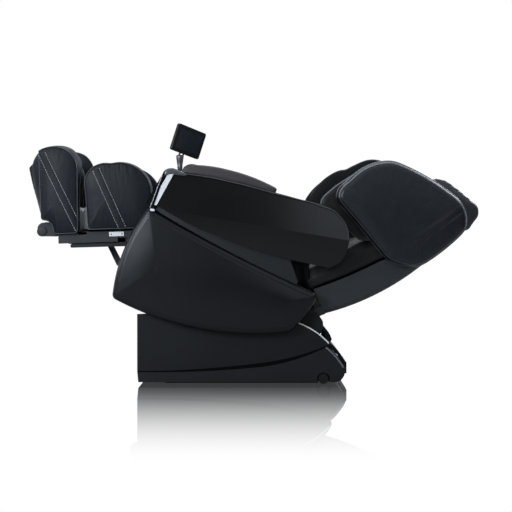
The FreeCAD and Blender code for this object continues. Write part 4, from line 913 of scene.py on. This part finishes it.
slidePlate = {"x": (-236, -173), "y": 212.4, "z": (-34.5, -15.5), "thick": 1.6, "rivet": 3.4, "rivetIn": 9}
plates, rivets, ribs = bmesh.new(), bmesh.new(), bmesh.new()
(low, high), (bottom, top), near = slidePlate["x"], slidePlate["z"], slidePlate["y"]
face = near + slidePlate["thick"]
for _, side in sides:
    boxOf(plates, "legs", (low, near, bottom), (high, face, top), side)
    for x in (low + slidePlate["rivetIn"], high - slidePlate["rivetIn"]):
        disc(rivets, "legs", x, (bottom + top) / 2, slidePlate["rivet"], near, face + 1, side, 0.6, 12)
# ribs of black plastic along the middle close the slots that the leg frame leaves open to the side
slideRibs = (((-352, -4, -13), (-60, 4, -2)), ((-440, -4, -60), (-172, 4, -44)))
for corners in slideRibs:
    boxOf(ribs, "legs", *corners)
finishedShape("slideRibs", ribs, "lipAbs", "legrest", soften=0.0008)
finishedShape("slidePlates", plates, "barePlate", "footrest", soften=0.0005)
finishedShape("slideRivets", rivets, "groundSteel", "footrest", soften=0.0002)

# Arm fronts: a rounded grey grip over the corner, a bright line down each edge as a painted highlight, a gloss band
# and a near-white clip at its foot as a painted highlight.
armFront = {"grip": [(7, 124), (9, 146), (25, 159, 1), (54, 161), (84, 154), (104, 147), (100, 139), (33, 135),
                     (16, 122)], "gripIn": 281, "gripOut": 376.6,
            "band": [(7, 136), (16, 136), (-10.5, -11), (-20, -11)], "bandAcross": (370, 376.4),
            "frontEdge": [(5, 130), (-22.4, -10.8)], "edgeAcross": 376,
            "topEdge": [(76, 147.6), (200, 150), (330, 143.4), (480, 128), (610, 119), (714, 101), (760, 66),
                        (782, 30), (793, -18)],
            "clip": ((-21, 366, -23), (-3, 377.6, -13))}
armEdges = (("Edge", straight(*armFront["frontEdge"]), 1.5, "edgeHighlightPaint", "bright_steel"),
            ("Rim", armFront["topEdge"], 1.3, "gripAbs", "gloss_plastic"))
for sideName, side in sides:
    arm = "arm_" + sideName
    grip = stuffed("armGrip_" + sideName, "arms", armFront["grip"], armFront["gripIn"], armFront["gripOut"], side,
                   "gripAbs", count=140, edge=8, crown=0.6, innerCrown=0.6, bulge=0.5, belly=8, capRings=5, rounds=6,
                   pucker=0, seam=0)
    attach(grip, arm)
    for label, points, thick, look, slot in armEdges:
        line = [placed("arms", x, side * armFront["edgeAcross"], z) for x, z in points]
        attach(tube("arm%s_%s" % (label, sideName), line, thick, look), arm)
    band, clip = bmesh.new(), bmesh.new()
    lace(band, [[band.verts.new(placed("arms", x, side * y, z)) for x, z in armFront["band"]]
                for y in armFront["bandAcross"]], smooth=False, capped=True)
    finishedShape("armBand_" + sideName, band, "pianoAbs", arm, soften=0.0008)
    boxOf(clip, "arms", *armFront["clip"], side)
    finishedShape("armClip_" + sideName, clip, "silverHighlightPaint", arm, soften=0.0015)

# The side shells' faces: moulded plates that swell gently from their edges, so that the light runs off their fronts.
shellFace = {"outline": [(-634, 264), (-668, 132, 1), (-659, -92), (-389, -111, 1), (43, -6), (75, 62, 1), (98, 140),
                         (-280, 192, 1)], "inner": 359, "outer": 362.6, "crown": 11,
             "spine": ((-540, 62), (-20, 84)), "ease": 320}
for sideName, side in sides:
    piece = stuffed("shellFace_" + sideName, "seat", shellFace["outline"], shellFace["inner"], shellFace["outer"],
                    side, "shellAbs", 420, edge=1.5, crown=shellFace["crown"], innerCrown=0, bulge=0, belly=2,
                    capRings=18, rounds=3, pucker=0, seam=0, spine=shellFace["spine"])
    ease = piece.modifiers.new("ease", "SMOOTH")
    ease.use_x = ease.use_z = False
    ease.iterations = shellFace["ease"]
    attach(plainMesh(piece, smooth=True), "seat")

# Painted shadow: a black band in the gap over each skirt, along two arcs in the chair's own x and z, thickest past
# its middle.
gapShadow = {"low": ((-426, 55.1), (-197, 56.9), (60, 74.1)), "high": ((60, 74.1), (211, 103.1), (353, 160)),
        "across": (299, 301.2), "thin": 4, "thick": 15}
line = arcPoints(*gapShadow["low"], 30) + arcPoints(*gapShadow["high"], 24) + [gapShadow["high"][2]]
near, far = gapShadow["across"]
shape = bmesh.new()
for _, side in sides:
    rows = []
    for i, (x, z) in enumerate(line):
        top = z + gapShadow["thin"] + (gapShadow["thick"] - gapShadow["thin"]) * math.sin(math.pi * (i / (len(line) - 1)) ** 1.5)
        rows.append([shape.verts.new((x / 1000, side * y / 1000, height / 1000))
                     for y, height in ((near, z - 1), (far, z - 1), (far, top), (near, top))])
    lace(shape, rows, smooth=False, capped=True)
finishedShape("skirtGaps", shape, "gapShadowBlack", "base", soften=0.0004)

# Painted highlights: pale lines on the edges of the base's sides, where they catch the light behind the shells.
rearHighlight = {"line": [(347, 156), (359, 146), (370, 136), (380, 126), (389, 116), (398, 105), (406, 94), (413, 84),
                     (419, 73)], "across": 299.4, "thick": 3.4}
edges = [tube("edge", [Vector((x, side * rearHighlight["across"], z)) / 1000 for x, z in rearHighlight["line"]],
              rearHighlight["thick"], "edgeHighlightPlastic") for _, side in sides]
attach(joined("rearEdgeHighlights", edges, "edgeHighlightPlastic"), "base")

# The tablet's stand: a fluted rubber boot on a ball, with a short fork up to the case.
stand = {"x": -251.5, "y": -312, "sides": 32, "flutes": 8, "flute": 0.05, "fork": 3.6,
         "rings": [(880, 9, 9), (893, 10, 9.5), (897, 11, 10), (900, 10, 9.5), (915, 12, 11), (930, 14, 12),
                   (941, 15.5, 12.5), (945, 14, 11), (946, 6, 6)],
         "forks": (((-258, 940), (-250, 956), (-243, 966)), ((-240, 938), (-237, 954), (-234, 966)))}
shape = bmesh.new()
rows = []
for z, wide, deep in stand["rings"]:
    rows.append([])
    for turn in turnsOf(stand["sides"]):
        x = stand["x"] + wide * math.cos(turn) * (1 + stand["flute"] * math.cos(stand["flutes"] * turn))
        rows[-1].append(shape.verts.new(Vector((x, stand["y"] + deep * math.sin(turn), z)) / 1000))
lace(shape, rows, capped=True)
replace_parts(finishedShape("standBoot", shape, "gripAbs", "arm_left", soften=0.0008), "tablet_stalk")
forks = [tube("fork", [Vector((x, stand["y"], z)) / 1000 for x, z in line], stand["fork"], "caseAbs")
         for line in stand["forks"]]
attach(joined("standFork", forks, "caseAbs"), "arm_left")
print("fittings done")

makeStitches()

# Floor, light and camera.
studio = {"horizon": 0.05, "zenith": 0.85, "rise": (0.05, 0.8), "behind": 0.9, "turn": (0.0, 0.6),
          "cool": (0.86, 0.93, 1, 1), "plain": (1, 1, 1, 1), "floorRadius": 4.0, "mirror": 0.95, "shade": 0.12,
          "fade": (0.3, 1.95), "around": (0.5, 1.3), "wider": (1.35, 1.0, 1.0), "grey": 0.36, "dull": 0.8}
eased = {"interpolation_type": "SMOOTHSTEP"}
world = bpy.data.worlds.new("studio")
bpy.context.scene.world = world
world.use_nodes = True
tree = world.node_tree
ray = addNode(tree, "ShaderNodeLightPath")
heading = addNode(tree, "ShaderNodeTexCoord")
split = addNode(tree, "ShaderNodeSeparateXYZ", {"Vector": heading.outputs["Generated"]})
lift = addNode(tree, "ShaderNodeMapRange", {"Value": split.outputs["Z"]}, From_Min=studio["rise"][0],
               From_Max=studio["rise"][1], To_Min=studio["horizon"], To_Max=studio["zenith"], **eased)
# the camera, glass and the polished floor see plain white, and the rest a dome with its light overhead
clear = addNode(tree, "ShaderNodeMath", {0: ray.outputs["Is Camera Ray"], 1: ray.outputs["Is Transmission Ray"]},
                operation="MAXIMUM")
clear = addNode(tree, "ShaderNodeMath", {0: clear.outputs["Value"], 1: ray.outputs["Is Singular Ray"]},
                operation="MAXIMUM")
behind = addNode(tree, "ShaderNodeMapRange", {"Value": split.outputs["Y"]}, From_Min=studio["turn"][0],
                 From_Max=studio["turn"][1], To_Min=0.0, To_Max=studio["behind"], **eased)
dome = addNode(tree, "ShaderNodeMath", {0: lift.outputs["Result"], 1: behind.outputs["Result"]}, operation="MAXIMUM")
level = addNode(tree, "ShaderNodeMix", {0: clear.outputs["Value"], 2: dome.outputs["Value"]}, data_type="FLOAT")
level.inputs[3].default_value = 1.0
tree.links.new(level.outputs[0], tree.nodes["Background"].inputs["Strength"])
white = addNode(tree, "ShaderNodeMix", {0: clear.outputs["Value"]}, data_type="RGBA")
white.inputs[6].default_value = studio["cool"]
white.inputs[7].default_value = studio["plain"]
tree.links.new(white.outputs[2], tree.nodes["Background"].inputs["Color"])

# a polished white floor: the camera sees the chair mirrored and faintly shaded, and the chair sees a grey floor
paper = bpy.data.materials.new("polishedWhiteFloor")
paper.use_nodes = True
tree = paper.node_tree
tree.nodes.remove(tree.nodes["Principled BSDF"])
ray = addNode(tree, "ShaderNodeLightPath")
place = addNode(tree, "ShaderNodeTexCoord").outputs["Object"]
parts = addNode(tree, "ShaderNodeSeparateXYZ", {"Vector": place})
distance = addNode(tree, "ShaderNodeMath", {0: parts.outputs["Y"]}, operation="ABSOLUTE")
stretch = addNode(tree, "ShaderNodeMapping", {"Vector": place}, Scale=studio["wider"])
away = addNode(tree, "ShaderNodeVectorMath", {0: stretch.outputs["Vector"]}, operation="LENGTH")
shares = []
for source, (start, stop), most in ((distance, studio["fade"], studio["mirror"]),
                                    (away, studio["around"], studio["shade"])):
    fade = addNode(tree, "ShaderNodeMapRange", {"Value": source.outputs["Value"]}, From_Min=start, From_Max=stop,
                   To_Min=1.0, To_Max=0.0, **eased)
    share = addNode(tree, "ShaderNodeMath", {0: fade.outputs["Result"]}, operation="MULTIPLY")
    share.inputs[1].default_value = most
    shares.append(share.outputs["Value"])
dull = addNode(tree, "ShaderNodeBsdfDiffuse", Color=(*[studio["dull"]] * 3, 1))
grey = addNode(tree, "ShaderNodeBsdfDiffuse", Color=(*[studio["grey"]] * 3, 1))
glow = addNode(tree, "ShaderNodeEmission", Strength=1.0)
mirror = addNode(tree, "ShaderNodeBsdfAnisotropic", Color=studio["plain"], Roughness=0.0)
shaded = addNode(tree, "ShaderNodeMixShader", {0: shares[1], 1: glow.outputs["Emission"], 2: dull.outputs["BSDF"]})
seen = addNode(tree, "ShaderNodeMixShader", {0: shares[0], 1: shaded.outputs["Shader"], 2: mirror.outputs["BSDF"]})
chosen = addNode(tree, "ShaderNodeMixShader", {0: ray.outputs["Is Camera Ray"], 1: grey.outputs["BSDF"],
                                               2: seen.outputs["Shader"]})
tree.links.new(chosen.outputs["Shader"], tree.nodes["Material Output"].inputs["Surface"])
disk = bpy.data.meshes.new("floor")
rim = [(studio["floorRadius"] * math.cos(turn), studio["floorRadius"] * math.sin(turn), 0) for turn in turnsOf(96)]
disk.from_pydata(rim, [], [tuple(range(len(rim)))])
makeObject("floor", disk, paper)

# each lamp: its place, what it points at, its size and its power
lamps = {"leftRim": ((-3.0, -0.9, 1.4), (-0.7, 0, 0.75), 0.9, 22),
         "top": ((0.1, 0.3, 3.2), (0, 0, 0.6), 2.4, 40),
         "leftKey": ((-1.5, -2.6, 1.3), (-0.45, -0.2, 0.5), 0.9, 38),
         "rear": ((2.2, 0.9, 2.3), (0.6, 0, 0.8), 0.9, 40),
         "rightFill": ((1.5, -5.6, 2.5), (0.2, 0, 0.6), 1.8, 11)}
lampColour = (0.84, 0.92, 1)  # a slightly cool softbox
for name, (where, aim, size, power) in lamps.items():
    light = bpy.data.lights.new(name, "AREA")
    light.size = size
    light.energy = power
    light.color = lampColour
    lamp = bpy.data.objects.new(name, light)
    lamp.location = where
    lamp.rotation_euler = (Vector(aim) - Vector(where)).to_track_quat("-Z", "Y").to_euler()
    bpy.context.collection.objects.link(lamp)

# the camera looks a little down at the chair's near side
view = {"target": (0.060, -0.35, 0.5325), "distance": 4.65, "down": 0.9, "lens": 80.4}
camera = bpy.data.objects.new("camera", bpy.data.cameras.new("camera"))
camera.data.lens = view["lens"]
camera.data.sensor_width = 36
down = math.radians(view["down"])
camera.location = Vector(view["target"]) + view["distance"] * Vector((0, -math.cos(down), math.sin(down)))
camera.rotation_euler = (math.radians(90) - down, 0, 0)
bpy.context.collection.objects.link(camera)
bpy.context.scene.camera = camera
bpy.context.scene.view_settings.view_transform = "Standard"
print("stage done")
